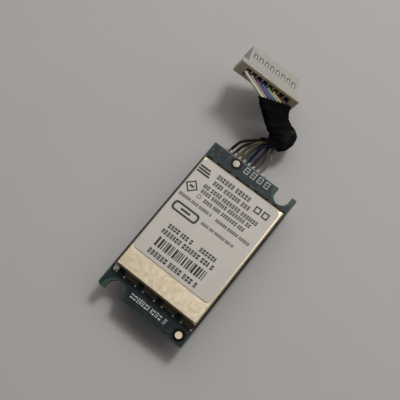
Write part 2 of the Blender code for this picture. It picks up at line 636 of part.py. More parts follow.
def make_header_pins():
    """Bent pins: a blade in the cavity, a rise behind the header and a foot on the board."""
    half = PIN_SIZE / 2
    back = HEADER_BACK_Y - SLIDE_GAP
    box_front = MODULE_FACE_Y - MODULE_CONTACT_END
    tip = box_front + MODULE_CONTACT_BOX - CONTACT_SHEET - SLIDE_GAP
    low, high = HEADER_MIDDLE_Z - half, HEADER_MIDDLE_Z + half
    profile = ((tip, low), (tip, high), (back, high), (back, UNDER_SEAT),
               (back - PIN_FOOT_LENGTH, UNDER_SEAT), (back - PIN_FOOT_LENGTH, UNDER_SEAT - PIN_SIZE),
               (back - PIN_SIZE, UNDER_SEAT - PIN_SIZE), (back - PIN_SIZE, low))
    shape = bmesh.new()
    add_bar(shape, profile, -half, half)
    pin = mesh_of("header_pin", shape, finish("tinned_pin", (0.80, 0.78, 0.70), 0.25, 1.0))
    places = [(HEADER_CENTRE_X + offset, 0.0, 0.0) for offset in way_offsets(HEADER_PITCH)]
    add_copies("header_pin", pin, places)


def make_header_anchors():
    """An angle of sheet on each side, soldered to the board to hold the header."""
    y0 = HEADER_BACK_Y + HEADER_BACK_WALL
    metal = finish("tinned_anchor", (0.80, 0.78, 0.70), 0.3, 1.0)
    for name, side in (("header_anchor_left", -1), ("header_anchor_right", 1)):
        inner = HEADER_CENTRE_X + side * (HEADER_WIDTH / 2 + SLIDE_GAP)
        sheet = inner + side * ANCHOR_THICKNESS
        outer = inner + side * ANCHOR_FOOT
        profile = ((inner, UNDER_SEAT - ANCHOR_HEIGHT), (inner, UNDER_SEAT), (outer, UNDER_SEAT),
                   (outer, UNDER_SEAT - ANCHOR_THICKNESS), (sheet, UNDER_SEAT - ANCHOR_THICKNESS),
                   (sheet, UNDER_SEAT - ANCHOR_HEIGHT))
        shape = bmesh.new()
        skin(shape, [[(x, y, z) for x, z in profile] for y in (y0, y0 + ANCHOR_WIDTH)])
        add_object(name, shape, metal)


def skin_blocks(shape, sections):
    """Skins upright rectangles, each given by y, half its width and half its height."""
    skin(shape, [[(-half, y, -tall), (half, y, -tall), (half, y, tall), (-half, y, tall)]
                 for y, half, tall in sections])


def row_of_boxes(pitch, width, height, y0, y1):
    """A box at each way, along the plug."""
    shape = bmesh.new()
    for x in way_offsets(pitch):
        add_box(shape, (x - width / 2, y0, -height / 2), (x + width / 2, y1, height / 2))
    return shape


def make_module_plug(parent):
    """The plug in the header. Its own +Y is the way it mates, and y = 0 is the back of its body."""
    body = MODULE_SHOULDER_DEPTH
    nose = MODULE_NOSE_WIDTH / 2
    shoulder = nose + MODULE_SHOULDER_OVERLAP
    nose_tall = MODULE_NOSE_HEIGHT / 2
    shoulder_tall = MODULE_SHOULDER_HEIGHT / 2
    pin_hole = PIN_SIZE + 4 * SLIDE_GAP
    shape = bmesh.new()
    skin_blocks(shape, ((-MODULE_CELL_DEPTH, shoulder, shoulder_tall), (body, shoulder, shoulder_tall),
                        (body, nose, nose_tall), (MODULE_TIP, nose, nose_tall)))
    plug = add_object("module_plug", shape, finish("plug_nylon", (0.78, 0.76, 0.70), 0.45), parent)
    ease_edges(plug, HOUSING_EDGE)
    cells = bmesh.new()
    cell = HEADER_PITCH - MODULE_CELL_WALL
    for x in way_offsets(HEADER_PITCH):
        add_box(cells, (x - cell / 2, -MODULE_CELL_DEPTH - PAST, MODULE_CELL_FLOOR - shoulder_tall),
                (x + cell / 2, 0.0, shoulder_tall + PAST))
    combine(plug, "module_plug_cells", cells, "DIFFERENCE")
    cavities = row_of_boxes(HEADER_PITCH, MODULE_CAVITY_WIDTH, MODULE_CAVITY_HEIGHT,
                            -MODULE_CELL_DEPTH / 2, MODULE_TIP - MODULE_FRONT_WALL)
    combine(plug, "module_plug_cavities", cavities, "DIFFERENCE")
    holes = row_of_boxes(HEADER_PITCH, pin_hole, pin_hole,
                         MODULE_TIP - 2 * MODULE_FRONT_WALL, MODULE_TIP + PAST)
    combine(plug, "module_plug_pin_holes", holes, "DIFFERENCE")


def lance_outline(x, tip, base):
    """A slot round three sides of a locking tongue, widest at its rounded crown."""
    half = LANCE_WIDTH / 2
    inner_half = half - LANCE_SLOT
    outer = arc((x, tip - half), half, 0, 180, 8)
    inner = arc((x, tip - half + LANCE_SLOT - LANCE_CROWN), inner_half, 180, 0, 6)
    return [(x + half, base), *outer, (x - half, base), (x - inner_half, base), *inner,
            (x + inner_half, base)]


def make_laptop_plug(parent):
    """The plug for the main board. Its own +Y is the way it mates, and y = 0 is its wire face."""
    half = LAPTOP_BODY_WIDTH / 2
    flange = half + LAPTOP_FLANGE_OVERHANG
    tall = LAPTOP_HEIGHT / 2
    chamfer = LAPTOP_NOSE_CHAMFER
    lance_tip = LAPTOP_DEPTH - LANCE_TIP_INSET
    right = [(flange, 0.0), (flange, LAPTOP_FLANGE_DEPTH), (half, LAPTOP_FLANGE_DEPTH),
             (half, LAPTOP_DEPTH - chamfer), (half - chamfer, LAPTOP_DEPTH)]
    shape = bmesh.new()
    add_prism(shape, right + [(-x, y) for x, y in reversed(right)], -tall, tall)
    plug = add_object("laptop_plug", shape, finish("natural_nylon", (0.80, 0.78, 0.68), 0.4), parent)
    ease_edges(plug, HOUSING_EDGE)
    mouths = row_of_boxes(LAPTOP_PITCH, LAPTOP_MOUTH_WIDTH, LAPTOP_MOUTH_HEIGHT, -PAST, LAPTOP_MOUTH_DEPTH)
    combine(plug, "laptop_plug_mouths", mouths, "DIFFERENCE")
    cavities = row_of_boxes(LAPTOP_PITCH, LAPTOP_CAVITY_WIDTH, LAPTOP_CAVITY_HEIGHT,
                            LAPTOP_MOUTH_DEPTH / 2, LAPTOP_DEPTH - LAPTOP_FRONT_WALL)
    combine(plug, "laptop_plug_cavities", cavities, "DIFFERENCE")
    holes = row_of_boxes(LAPTOP_PITCH, LAPTOP_PIN_HOLE, LAPTOP_PIN_HOLE,
                         LAPTOP_DEPTH - 2 * LAPTOP_FRONT_WALL, LAPTOP_DEPTH + PAST)
    combine(plug, "laptop_plug_pin_holes", holes, "DIFFERENCE")
    lances = bmesh.new()
    for x in way_offsets(LAPTOP_PITCH):
        outline = lance_outline(x, lance_tip, lance_tip - LANCE_LENGTH)
        add_prism(lances, outline, LAPTOP_CAVITY_HEIGHT / 2 - SINK, tall + PAST)
    combine(plug, "laptop_plug_lances", lances, "DIFFERENCE")
    grooves = bmesh.new()
    for side in (-1, 1):
        x = side * (half - KEY_GROOVE_WIDTH)
        add_box(grooves, (x - KEY_GROOVE_WIDTH / 2, LAPTOP_DEPTH - KEY_GROOVE_LENGTH, -tall - PAST),
                (x + KEY_GROOVE_WIDTH / 2, LAPTOP_DEPTH + PAST, KEY_GROOVE_DEPTH - tall))
    combine(plug, "laptop_plug_key_grooves", grooves, "DIFFERENCE")


def contact_mesh(name, width, height, end, box, wire_depth):
    """A crimped contact: an open box round the pin, a neck, and a tail that lies under its wire."""
    low = SLIDE_GAP - height / 2
    high = -low
    neck = end - box
    root = wire_depth + SLIDE_GAP
    tail = wire_depth * (1 - CONTACT_TAIL_SHARE)
    seat = -WIRE_DIAMETER / 2 - SLIDE_GAP
    floor = max(low, seat - CONTACT_SHEET)
    profile = ((end, low), (end, high), (neck, high), (neck, low + CONTACT_NECK),
               (root, low + CONTACT_NECK), (root, seat), (tail, seat), (tail, floor), (root, low))
    half = width / 2 - SLIDE_GAP
    shape = bmesh.new()
    add_bar(shape, profile, -half, half)
    bmesh.ops.recalc_face_normals(shape, faces=shape.faces)
    front = next(face for face in shape.faces if all(vert.co.y > end - SEAT_GAP for vert in face.verts))
    bmesh.ops.inset_region(shape, faces=[front], thickness=CONTACT_SHEET)
    bore = bmesh.ops.extrude_discrete_faces(shape, faces=[front])["faces"][0]
    for vert in bore.verts:
        vert.co = (vert.co.x * CONTACT_GRIP, end - box + CONTACT_SHEET, vert.co.z)
    return mesh_of(name, shape, finish(name + "_finish", (0.75, 0.72, 0.65), 0.3, 1.0))


def make_contacts(module, laptop):
    small = contact_mesh("module_contact", MODULE_CAVITY_WIDTH, MODULE_CAVITY_HEIGHT,
                         MODULE_CONTACT_END, MODULE_CONTACT_BOX, MODULE_WIRE_DEPTH)
    add_copies("module_contact", small, [(x, 0.0, 0.0) for x in way_offsets(HEADER_PITCH)], module)
    large = contact_mesh("laptop_contact", LAPTOP_CAVITY_WIDTH, LAPTOP_CAVITY_HEIGHT,
                         LAPTOP_CONTACT_END, LAPTOP_CONTACT_BOX, LAPTOP_WIRE_DEPTH)
    add_copies("laptop_contact", large, [(x, 0.0, 0.0) for x in way_offsets(LAPTOP_PITCH)], laptop)


def wrap_sections():
    """Middle, way across, way up, half sizes and distance run, all along the wrap."""
    lefts = smooth_curve([Vector(left) * MM for left, right, thickness in WRAP_STATIONS], WRAP_STEPS)
    rights = smooth_curve([Vector(right) * MM for left, right, thickness in WRAP_STATIONS], WRAP_STEPS)
    depths = smooth_curve([(thickness * MM, 0, 0) for left, right, thickness in WRAP_STATIONS], WRAP_STEPS)
    middles = [(left + right) / 2 for left, right in zip(lefts, rights)]
    sections = []
    run = 0.0
    for k, middle in enumerate(middles):
        before = middles[max(k - 1, 0)]
        along = middles[min(k + 1, len(middles) - 1)] - before
        run += (middle - before).length
        half = (rights[k] - lefts[k]) / 2
        up = along.cross(half).normalized()
        sections.append((middle, half.normalized(), up, half.length, depths[k].x / 2, run))
    return sections


def wrap_ring(section, inset):
    """A squarish oval round one section, drawn in by an inset."""
    middle, across, up, wide, thick, run = section
    ring = []
    for k in range(WRAP_ROUND_POINTS):
        turn = math.tau * k / WRAP_ROUND_POINTS
        u, v = (math.copysign(abs(part) ** (2 / WRAP_SQUARENESS), part)
                for part in (math.cos(turn), math.sin(turn)))
        ring.append(middle + across * u * (wide - inset) + up * v * (thick - inset))
    return ring


def make_tape_wrap(sections):
    """Cloth tape wound round the wires, open at both ends."""
    shape = bmesh.new()
    outer = [wrap_ring(section, 0.0) for section in sections]
    inner = [wrap_ring(section, WRAP_WALL) for section in reversed(sections)]
    skin(shape, outer + inner, closed=True)
    wrap = add_object("tape_wrap", shape, finish("cloth_tape", (0.015, 0.015, 0.016), 0.9))
    shade_round(wrap, 50)


def belt_place(travel, run, radius):
    """A place on a flat belt, by how far it is along it from the middle of its upper run."""
    around = 4 * run + math.tau * radius
    travel = (travel + run) % around - run
    turned = travel > run + math.pi * radius
    if turned:
        travel -= around / 2
    if travel <= run:
        place = (travel, radius)
    else:
        angle = (travel - run) / radius
        place = (run + radius * math.sin(angle), radius * math.cos(angle))
    return (-place[0], -place[1]) if turned else place


def place_in_wrap(section, way):
    """Where a wire lies in one section of the wrap."""
    middle, across, up, wide, thick, run = section
    clear = WRAP_WALL + WRAP_CLEARANCE + WIRE_DIAMETER / 2
    radius = thick - clear
    straight = wide - clear - radius
    step = (4 * straight + math.tau * radius) / WAYS
    slot = way / 2 if way % 2 == 0 else WAYS - (way + 1) / 2
    changed = min(1.0, max(0.0, (BELT_END - run) / (BELT_END - BELT_START)))
    shift = WAYS / 2 * changed - (WAYS / 2 - 1) / 2 - LAYER_STAGGER
    x, z = belt_place((slot + shift) * step, straight, radius)
    spread = max(0.0, 1 - run / SPREAD_LENGTH)
    row = (1 - 2 * way / (WAYS - 1)) * (wide - clear)
    return middle + across * (x + (row - x) * spread) + up * z * (1 - spread / 2)


def make_wire(name, colour, route):
    curve = bpy.data.curves.new(name, "CURVE")
    curve.dimensions = "3D"
    curve.bevel_depth = WIRE_DIAMETER / 2
    curve.bevel_resolution = 2
    curve.use_fill_caps = True
    points = even_points(route, WIRE_POINT_STEP)
    spline = curve.splines.new("POLY")
    spline.points.add(len(points) - 1)
    for point, place in zip(spline.points, points):
        point.co = (*place, 1.0)
    spline.use_smooth = True
    curve.materials.append(finish(name + "_finish", colour, 0.4))
    bpy.context.scene.collection.objects.link(bpy.data.objects.new(name, curve))


def make_wires(sections, laptop_pose):
    """The wires change over inside the wrap, so they reach the far plug in the opposite order."""
    for way, (name, colour, rise) in enumerate(WIRE_ROUTES):
        x = HEADER_CENTRE_X + way_offsets(HEADER_PITCH)[way]
        cell = [(x, MODULE_FACE_Y - MODULE_WIRE_DEPTH, HEADER_MIDDLE_Z),
                (x, MODULE_FACE_Y, HEADER_MIDDLE_Z),
                (x, MODULE_FACE_Y + MODULE_CELL_DEPTH, HEADER_MIDDLE_Z)]
        rise = [Vector(point) * MM for point in rise]
        inside = [place_in_wrap(section, way) for section in sections]
        entry = inside[-1] + (inside[-1] - inside[-2]).normalized() * ENTRY_RUN
        leave = inside[0] + (inside[0] - inside[1]).normalized() * LEAVE_RUN
        far = way_offsets(LAPTOP_PITCH)[WAYS - 1 - way]
        socket = [laptop_pose @ Vector((far, y, 0.0))
                  for y in (-SOCKET_RUN, 0.0, LAPTOP_WIRE_DEPTH / 2, LAPTOP_WIRE_DEPTH)]
        route = smooth_curve([*cell, *rise, entry, *reversed(inside), leave, *socket], 6)
        make_wire("wire_" + name, colour, route)


def add_empty(name, matrix):
    empty = bpy.data.objects.new(name, None)
    empty.matrix_world = matrix
    bpy.context.scene.collection.objects.link(empty)
    return empty


def main():
    clear_scene()
    make_circuit_board()
    make_shield_can()
    make_product_label()
    make_package("radio_chip", RADIO_CHIP, (0.02, 0.02, 0.022), 0.45)
    make_package("memory_chip", MEMORY_CHIP, (0.025, 0.025, 0.025), 0.5)
    make_package("crystal", CRYSTAL, (0.75, 0.73, 0.68), 0.25, 1.0)
    make_package("band_filter", BAND_FILTER, (0.70, 0.69, 0.66), 0.4)
    make_regulator()
    make_small_chips()
    make_spacer_pad()

    make_header()
    make_header_pins()
    make_header_anchors()
    module_pose = Matrix.Translation((HEADER_CENTRE_X, MODULE_FACE_Y, HEADER_MIDDLE_Z))
    module = add_empty("module_plug_place", module_pose @ Matrix.Rotation(math.pi, 4, "Z"))
    turn = Euler([math.radians(angle) for angle in LAPTOP_PLUG_TURN]).to_matrix().to_4x4()
    laptop_pose = Matrix.Translation(LAPTOP_PLUG_AT) @ turn
    laptop = add_empty("laptop_plug_place", laptop_pose)
    make_module_plug(module)
    make_laptop_plug(laptop)
    make_contacts(module, laptop)

    sections = wrap_sections()
    make_tape_wrap(sections)
    make_wires(sections, laptop_pose)


main()
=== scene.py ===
"""Dresses a laptop's small wireless module and its taped lead, and sets its plain studio stage.

The module lies label up. +Y runs along the board towards the lead, +X across it and +Z up. The
sidebar panel has one button for each group of pieces, and the settings that they read.
"""

import math
import random

import bmesh
import bpy
from mathutils import Euler, Matrix, Vector


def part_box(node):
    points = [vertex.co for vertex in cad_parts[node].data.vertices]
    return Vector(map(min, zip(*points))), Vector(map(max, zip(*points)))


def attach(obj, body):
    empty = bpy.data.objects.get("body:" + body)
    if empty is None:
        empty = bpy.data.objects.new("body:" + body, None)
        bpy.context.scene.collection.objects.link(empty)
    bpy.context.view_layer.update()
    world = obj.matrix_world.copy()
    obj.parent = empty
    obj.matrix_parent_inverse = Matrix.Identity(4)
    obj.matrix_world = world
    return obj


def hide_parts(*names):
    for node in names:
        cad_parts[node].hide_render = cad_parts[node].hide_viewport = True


bl_info = {
    "name": "Wireless Module Dresser",
    "version": (1, 0, 0),
    "blender": (4, 5, 0),
    "location": "3D View > Sidebar > Module",
    "description": "Finishes, print, lead, tape and stage of a laptop's wireless module",
    "category": "Object",
}

MM = 0.001

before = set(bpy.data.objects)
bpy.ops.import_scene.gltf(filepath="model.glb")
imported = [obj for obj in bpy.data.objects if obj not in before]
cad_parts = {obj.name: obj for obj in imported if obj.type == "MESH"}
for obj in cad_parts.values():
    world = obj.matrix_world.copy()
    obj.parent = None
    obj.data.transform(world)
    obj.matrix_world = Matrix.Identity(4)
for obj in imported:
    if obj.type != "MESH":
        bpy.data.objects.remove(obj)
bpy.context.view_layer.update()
can_low, can_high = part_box("shield_can")
label_low, label_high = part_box("product_label")
header_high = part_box("board_header")[1]
pad_low, pad_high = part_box("spacer_pad")

# Levels of the board, which the can and the header stand against, and its half sides
SEAT_GAP = 0.03 * MM
BOARD_TOP = can_low.z - SEAT_GAP
BOARD_UNDERSIDE = header_high.z + SEAT_GAP
BOARD_HALF = Vector((9.0, 16.25)) * MM

# Camera at the photograph's angle
CAMERA_AT = Vector((22.2, -27.66, 137.23)) * MM
CAMERA_AZIMUTH = math.radians(38.36)
CAMERA_ELEVATION = math.radians(72.17)

# Lamps: name, way from the target, width, height and the setting that holds the power
LAMPS = (
    ("key_lamp", Vector((0.035, 0.28, 0.36)), 0.11, 0.11, "key_power"),
    ("soft_lamp", Vector((0.0, 0.33, 0.37)), 1.6, 0.42, "soft_power"),
)
LAMP_TARGET = Vector((-1.0, 5.0, 3.0)) * MM
LAMP_TINT = (1.0, 0.985, 0.96)
ROOM_TINT = (1.0, 0.985, 0.965)
FLOOR_GAP = 0.02 * MM

# The lead, as the model's source has it
WAYS = 8
HEADER_PITCH = 1.0 * MM
HEADER_CENTRE_X = -2.95 * MM
HEADER_MIDDLE_Z = 1.475 * MM
MODULE_FACE_Y = 16.69 * MM
MODULE_CELL_DEPTH = 0.6 * MM
MODULE_WIRE_DEPTH = 1.1 * MM
LAPTOP_PITCH = 1.25 * MM
LAPTOP_WIRE_DEPTH = 1.6 * MM
LAPTOP_PLUG_AT = Vector((-7.7, 29.2, 7.2)) * MM
LAPTOP_PLUG_TURN = Euler([math.radians(angle) for angle in (-25.0, 25.5, 10.0)]).to_matrix()
WRAP_STATIONS = (
    ((-7.35, 26.45, 8.25), (-2.45, 29.4, 5.55), 1.45),
    ((-5.85, 25.4, 7.25), (-2.05, 28.5, 5.0), 1.55),
    ((-4.6, 24.7, 6.2), (-1.5, 27.6, 4.5), 1.7),
    ((-3.3, 24.0, 5.2), (-0.5, 27.1, 4.0), 1.95),
    ((-2.4, 23.6, 4.6), (0.7, 26.7, 3.5), 2.15),
    ((-2.0, 23.4, 4.2), (1.6, 26.2, 3.2), 2.25),
    ((-1.9, 23.15, 4.0), (1.9, 25.2, 3.0), 2.25),
    ((-2.0, 22.9, 3.8), (1.85, 24.2, 2.9), 2.15),
    ((-2.3, 22.6, 3.7), (1.6, 23.2, 2.85), 2.15),
    ((-2.8, 22.3, 3.65), (1.2, 22.6, 2.8), 2.15),
    ((-3.2, 22.0, 3.65), (0.65, 22.1, 2.8), 2.1),
)
WRAP_WALL = 0.15 * MM
WRAP_CLEARANCE = 0.12 * MM
WRAP_SQUARENESS = 4.5
BELT_START = 1.6 * MM
BELT_END = 8.2 * MM
SPREAD_LENGTH = 1.9 * MM
LAYER_STAGGER = 0.25
ENTRY_RUN = 0.55 * MM
LEAVE_RUN = 0.2 * MM
SOCKET_RUN = 0.45 * MM
WIRE_ROUTES = (
    ("black", ((-6.3, 18.3, 1.7), (-5.7, 19.7, 2.4), (-4.3, 20.8, 3.1))),
    ("brown", ((-5.35, 18.3, 1.7), (-4.85, 19.6, 2.1), (-3.8, 20.7, 2.6))),
    ("yellow", ((-4.4, 18.3, 1.7), (-4.1, 19.5, 2.3), (-3.3, 20.6, 3.3))),
    ("green", ((-3.45, 18.3, 1.7), (-3.3, 19.3, 2.1), (-2.6, 20.6, 2.6))),
    ("blue", ((-2.45, 18.2, 1.7), (-2.35, 19.2, 2.2), (-1.95, 20.6, 3.2))),
    ("purple", ((-1.45, 18.2, 1.7), (-1.35, 19.0, 2.0), (-1.1, 20.5, 2.6))),
    ("grey", ((-0.45, 18.2, 1.6), (-0.4, 19.0, 1.9), (-0.4, 20.4, 3.0))),
    ("white", ((0.55, 18.2, 1.6), (0.6, 19.0, 1.8), (0.4, 20.4, 2.4))),
)

# Insulation, clean and with painted shade between the header and the tape, and steps of each curve
WIRE_COLOURS = {
    "black": ((0.018, 0.014, 0.013), (0.008, 0.006, 0.006)),
    "brown": ((0.055, 0.022, 0.018), (0.02, 0.008, 0.008)),
    "yellow": ((0.28, 0.25, 0.125), (0.105, 0.085, 0.045)),
    "green": ((0.19, 0.22, 0.11), (0.055, 0.062, 0.042)),
    "blue": ((0.02, 0.07, 0.19), (0.008, 0.013, 0.04)),
    "purple": ((0.085, 0.034, 0.095), (0.036, 0.02, 0.034)),
    "grey": ((0.25, 0.225, 0.19), (0.07, 0.062, 0.058)),
    "white": ((0.45, 0.42, 0.36), (0.12, 0.112, 0.1)),
}
SHADE_REACH = (23.0, 26.0)
WIRE_STEPS = 8

# Turns, folds, creases and threads of the tape, and where painted glints lie at its elbow
TAPE_STEPS = 14
TAPE_POINTS = 96
LAP_SHARE = 0.86
BEND_PLACE = 0.62
BEND_SPREAD = 0.2
FOLD_RISE = 0.16 * MM
FOLD_WAVE = 0.27 * MM
CREASE_RISE = 0.05 * MM
CREASE_WAVE = 0.43 * MM
CREASE_DRIFT = 0.9 * MM
THREAD_PITCH = 0.3 * MM
THREAD_LEANS = ((0.55, 0.8, 0.25), (-0.75, 0.6, 0.3))
TAPE_ELBOW = Vector((2.2, 26.2, 4.6)) * MM
GLINT_REACH = (1.2, 3.6)

# Where the board's finish changes, in millimetres along or across it, or from its rim, face or pads
# Painted shade: along this range the mask over copper grows darker towards the near end
NEAR_END_SHADE_ALONG = (-13.0, 13.0)
COPPER_INSET = (0.32, 0.42)
# Where painted shadow darkens the bare rim: the near end's right part and the long sides beside the can
NEAR_EDGE_ALONG = (-15.0, -13.0)
NEAR_EDGE_ACROSS = (-5.5, -3.5)
CAN_SIDE = (12.2, 12.8)
PAD_RING = (0.98, 1.25)
# Where the painted highlights on the near pad and the near feet lie, and how they fade
NEAR_PAD_ALONG = (-14.0, -13.9)
NEAR_FEET_ALONG = (-13.9, -13.7)
NEAR_FEET_FADE = (-12.0, 0.0)
LEAD_FEET_START = (12.2, 12.4)
LEAD_FEET_END = (13.7, 13.9)
TIN_RISE = (0.012, 0.02)
MASK_DEPTH = (0.06, 0.1)

# Screw notches by place and clear radius, and the alignment pads
NOTCH_FADE = 0.12 * MM
NOTCH_CLEARINGS = ((6.575 * MM, 16.0 * MM, 2.3 * MM), (-5.975 * MM, -16.0 * MM, 2.3 * MM))
ALIGNMENT_PADS = ((-3.5 * MM, 15.25 * MM), (7.45 * MM, -14.75 * MM))

# Where the can's finish changes, in millimetres from its top, lead end, right side or corner: painted
# shade on the walls and bends, and solder at the corner
WALL_DEPTH = (0.35, 0.7)
LEAD_WALL_DEPTH = (0.12, 0.22)
LEAD_WALL = (-0.9, -0.6)
RIGHT_BEND = (-0.6, -0.45)
CORNER_SOLDER = (0.45, 0.8)
SOLDERED_CORNER = Vector((-8.1, -12.25, 4.4)) * MM

# Vias and tracks on the board's face, in millimetres
TOP_VIAS = (
    (-8.4, 14.9), (-7.15, 15.7), (-7.75, 14.15), (-7.15, 14.7), (-5.9, 13.6), (-5.2, 15.6),
    (-1.9, 13.5), (1.15, 13.5), (3.3, 13.9), (8.35, -13.4), (5.6, -15.4), (3.2, -13.3),
    (-1.1, -13.25), (-4.0, -15.5), (0.9, -15.55), (-8.2, 13.2), (7.9, 13.2),
)
TOP_TRACKS = (
    ((-8.4, 14.9), (-8.4, 14.4), (-7.9, 13.9), (-7.9, 12.9)),
    ((-7.15, 14.7), (-6.6, 14.15), (-6.6, 12.9)),
    ((-5.2, 15.6), (-5.2, 14.3), (-4.7, 13.8), (-4.7, 12.9)),
    ((1.15, 13.5), (1.8, 13.5), (2.3, 14.0), (3.3, 13.9)),
    ((3.2, -13.3), (2.6, -13.9), (-0.4, -13.95), (-1.1, -13.25)),
    ((5.6, -15.4), (4.6, -15.4), (4.2, -15.0), (3.0, -15.0)),
)
VIA_RADIUS = 0.17 * MM
VIA_HOLE = 0.08 * MM
TRACK_WIDTH = 0.09 * MM
UNDERSIDE_TRACK_WIDTH = 0.1 * MM

# How far the board's marks, tracks and vias stand out, and how deep they sink in
PRINT_RISE = 0.012 * MM
TRACK_RISE = 0.015 * MM
VIA_RISE = 0.02 * MM
SUNK = 0.01 * MM

# Printed rows, in millimetres: left end, right end, middle and height of the marks
LABEL_ROWS = (
    (-4.17, 3.35, 10.7, 0.9),
    (-4.05, 4.48, 9.35, 0.85),
    (-5.06, 6.74, 7.96, 0.78),
    (-4.85, 5.75, 6.93, 0.72),
    (-3.4, 5.46, 5.75, 0.7),
    (-7.67, -0.38, 4.36, 0.55),
    (0.36, 7.59, 4.27, 0.55),
    (-1.27, 5.76, 2.36, 0.5),
    (-5.34, 0.21, -1.42, 0.85),
    (1.43, 5.27, -1.4, 0.85),
    (-5.65, 5.42, -2.73, 0.9),
    (-5.43, 5.26, -6.78, 0.95),
)
BOARD_ROW = (-3.1, 4.65, -14.35, 0.95)
BOARD_ROW_SEED = 5
# Band at the label's rim that is darker: partly wear, partly painted shade
LABEL_RIM = (0.08, 0.2)

# Printed marks: widths and gaps as shares of their height, pitch and stroke of a bar's own
BAR_WIDTH = 0.32
STACK_WIDTH = 0.54
BAR_PITCH = 1.35
MARK_GAP = 0.17
GROUP_GAP = 0.35
THIN_STROKE = 0.55

# Bar pattern, in millimetres: left, right, bottom and top, then its widths and gaps
BAR_CODE = (-5.3, 5.32, -5.62, -3.8)
BAR_CODE_WIDTHS = (0.16, 0.22, 0.34, 0.44)
BAR_CODE_GAPS = (0.14, 0.17, 0.24, 0.3)
BAR_CODE_SEED = 11

# Label's plain plates by their sides, and square rings by middle, radii and turn, in millimetres
EMBLEM_PLATES = (
    (-7.9, 9.35, -5.2, 9.72),
    (-7.9, 9.9, -5.45, 10.27),
    (-7.9, 10.45, -5.7, 10.82),
    (-7.1, 6.35, -6.25, 6.75),
    (-5.6, 2.0, -3.6, 2.4),
)
EMBLEM_RINGS = (
    (-6.68, 6.55, 1.3, 0.94, 0.0),
    (-4.5, 5.85, 0.52, 0.38, math.pi / 4),
    (4.95, 10.05, 0.9, 0.52, math.pi / 4),
    (6.6, 10.05, 0.9, 0.52, math.pi / 4),
)
FRAME_MIDDLE = (-4.6, 2.2)
FRAME_SIDES = (((2.7, 0.95), (0.25, 0.7)), ((2.3, 0.58), (0.2, 0.7)))

# Empty boxes on the board
BOX_COUNT = 4
BOX_START = -1.19 * MM
BOX_PITCH = 1.46 * MM
BOX_Y = 15.32 * MM
BOX_HALF = Vector((0.45, 0.6)) * MM
BOX_STROKE = 0.12 * MM
BOX_DOT = 0.09 * MM

# Chips: two colours of each plain body, then finish, colour and nodes of the capped ones
PACKAGE_COLOURS = ((0.022, 0.022, 0.024), (0.035, 0.034, 0.034))
CERAMIC_COLOURS = ((0.7, 0.68, 0.63), (0.55, 0.54, 0.5))
CAPPED_CHIPS = (
    ("aerial_finish", (0.62, 0.66, 0.66), ("chip_aerial",)),
    ("capacitor_finish", (0.42, 0.29, 0.17),
     ("chip_capacitor_1", "chip_capacitor_2", "chip_capacitor_3", "underside_capacitor_1",
      "underside_capacitor_2")),
    ("resistor_finish", (0.03, 0.03, 0.035), ("chip_resistor_1", "chip_resistor_2")),
)
CAP_SHARE = (0.55, 0.57)

# Foam pad: colours, and its levels as shares of its height and of its draw
FOAM_COLOURS = ((0.03, 0.03, 0.032), (0.055, 0.054, 0.052))
PAD_LEVELS = ((0.0, 1.0), (0.04, 0.0), (0.3, 0.5), (0.7, 0.5), (0.96, 0.0), (1.0, 1.0))
PAD_DRAW = 0.06 * MM
PAD_CORNER = 0.5 * MM

# Usual range of a noise texture, and the light's spread in nylon
NOISE_RANGE = (0.3, 0.7)
NYLON_SPREAD = (0.9, 0.85, 0.7)
NYLON_DEPTH = 0.6 * MM


# Settings


def colour_setting(name, description, default):
    return bpy.props.FloatVectorProperty(
        name=name, description=description, default=default, subtype="COLOR", size=3, min=0, max=1
    )


def number_setting(name, description, default, **more):
    return bpy.props.FloatProperty(name=name, description=description, default=default, min=0, **more)


def length_setting(name, description, default):
    return number_setting(name, description, default, unit="LENGTH", precision=5)


class BoardLooks(bpy.types.PropertyGroup):
    """Colours of the circuit board."""

    mask_colour: colour_setting(
        "Mask over copper", "Solder mask where copper lies under it", (0.014, 0.023, 0.028)
    )
    bare_mask_colour: colour_setting(
        "Mask over laminate", "Solder mask where no copper lies under it", (0.026, 0.058, 0.047)
    )
    laminate_colour: colour_setting(
        "Bare laminate", "Glass laminate round the alignment pads", (0.006, 0.004, 0.002)
    )
    edge_colour: colour_setting("Board edge", "Cut edge of the laminate", (0.14, 0.15, 0.075))
    # Painted highlight: the near pad's bright colour stands for the lamp's highlight on its tin
    near_pad_highlight_colour: colour_setting("Near pad", "Frosted tin of the near pad", (0.92, 0.77, 0.58))
    stain_colour: colour_setting("Stain", "Flux on the solder at the lead end", (0.035, 0.03, 0.024))
    print_colour: colour_setting("Board print", "Marks printed on the mask", (0.44, 0.47, 0.45))


class CanLooks(bpy.types.PropertyGroup):
    """Colours of the tinned sheet, pins and solder."""

    sheet_colour: colour_setting("Sheet", "Tinned sheet of the can", (0.95, 0.83, 0.635))
    # Painted shade: the walls' dark colour stands for the shade and dark reflections on them
    wall_shade_colour: colour_setting("Walls", "Duller sheet of the folded walls", (0.11, 0.08, 0.055))
    tin_colour: colour_setting("Tin", "Bright tin on pads, pins and contacts", (0.66, 0.6, 0.5))
    # Bright solder colour: on the near feet it is a painted highlight; the can's soldered corner uses it
    # too
    solder_colour: colour_setting("Solder", "Fresh solder at the feet of the can", (0.95, 0.92, 0.87))


class LabelLooks(bpy.types.PropertyGroup):
    """Colours of the label and its print."""

    paper_colour: colour_setting("Paper", "Face of the label", (0.46, 0.43, 0.39))
    ink_colour: colour_setting("Ink", "Print on the label", (0.012, 0.0105, 0.01))
    ink_height: length_setting("Ink height", "How proud the print stands", 0.012 * MM)


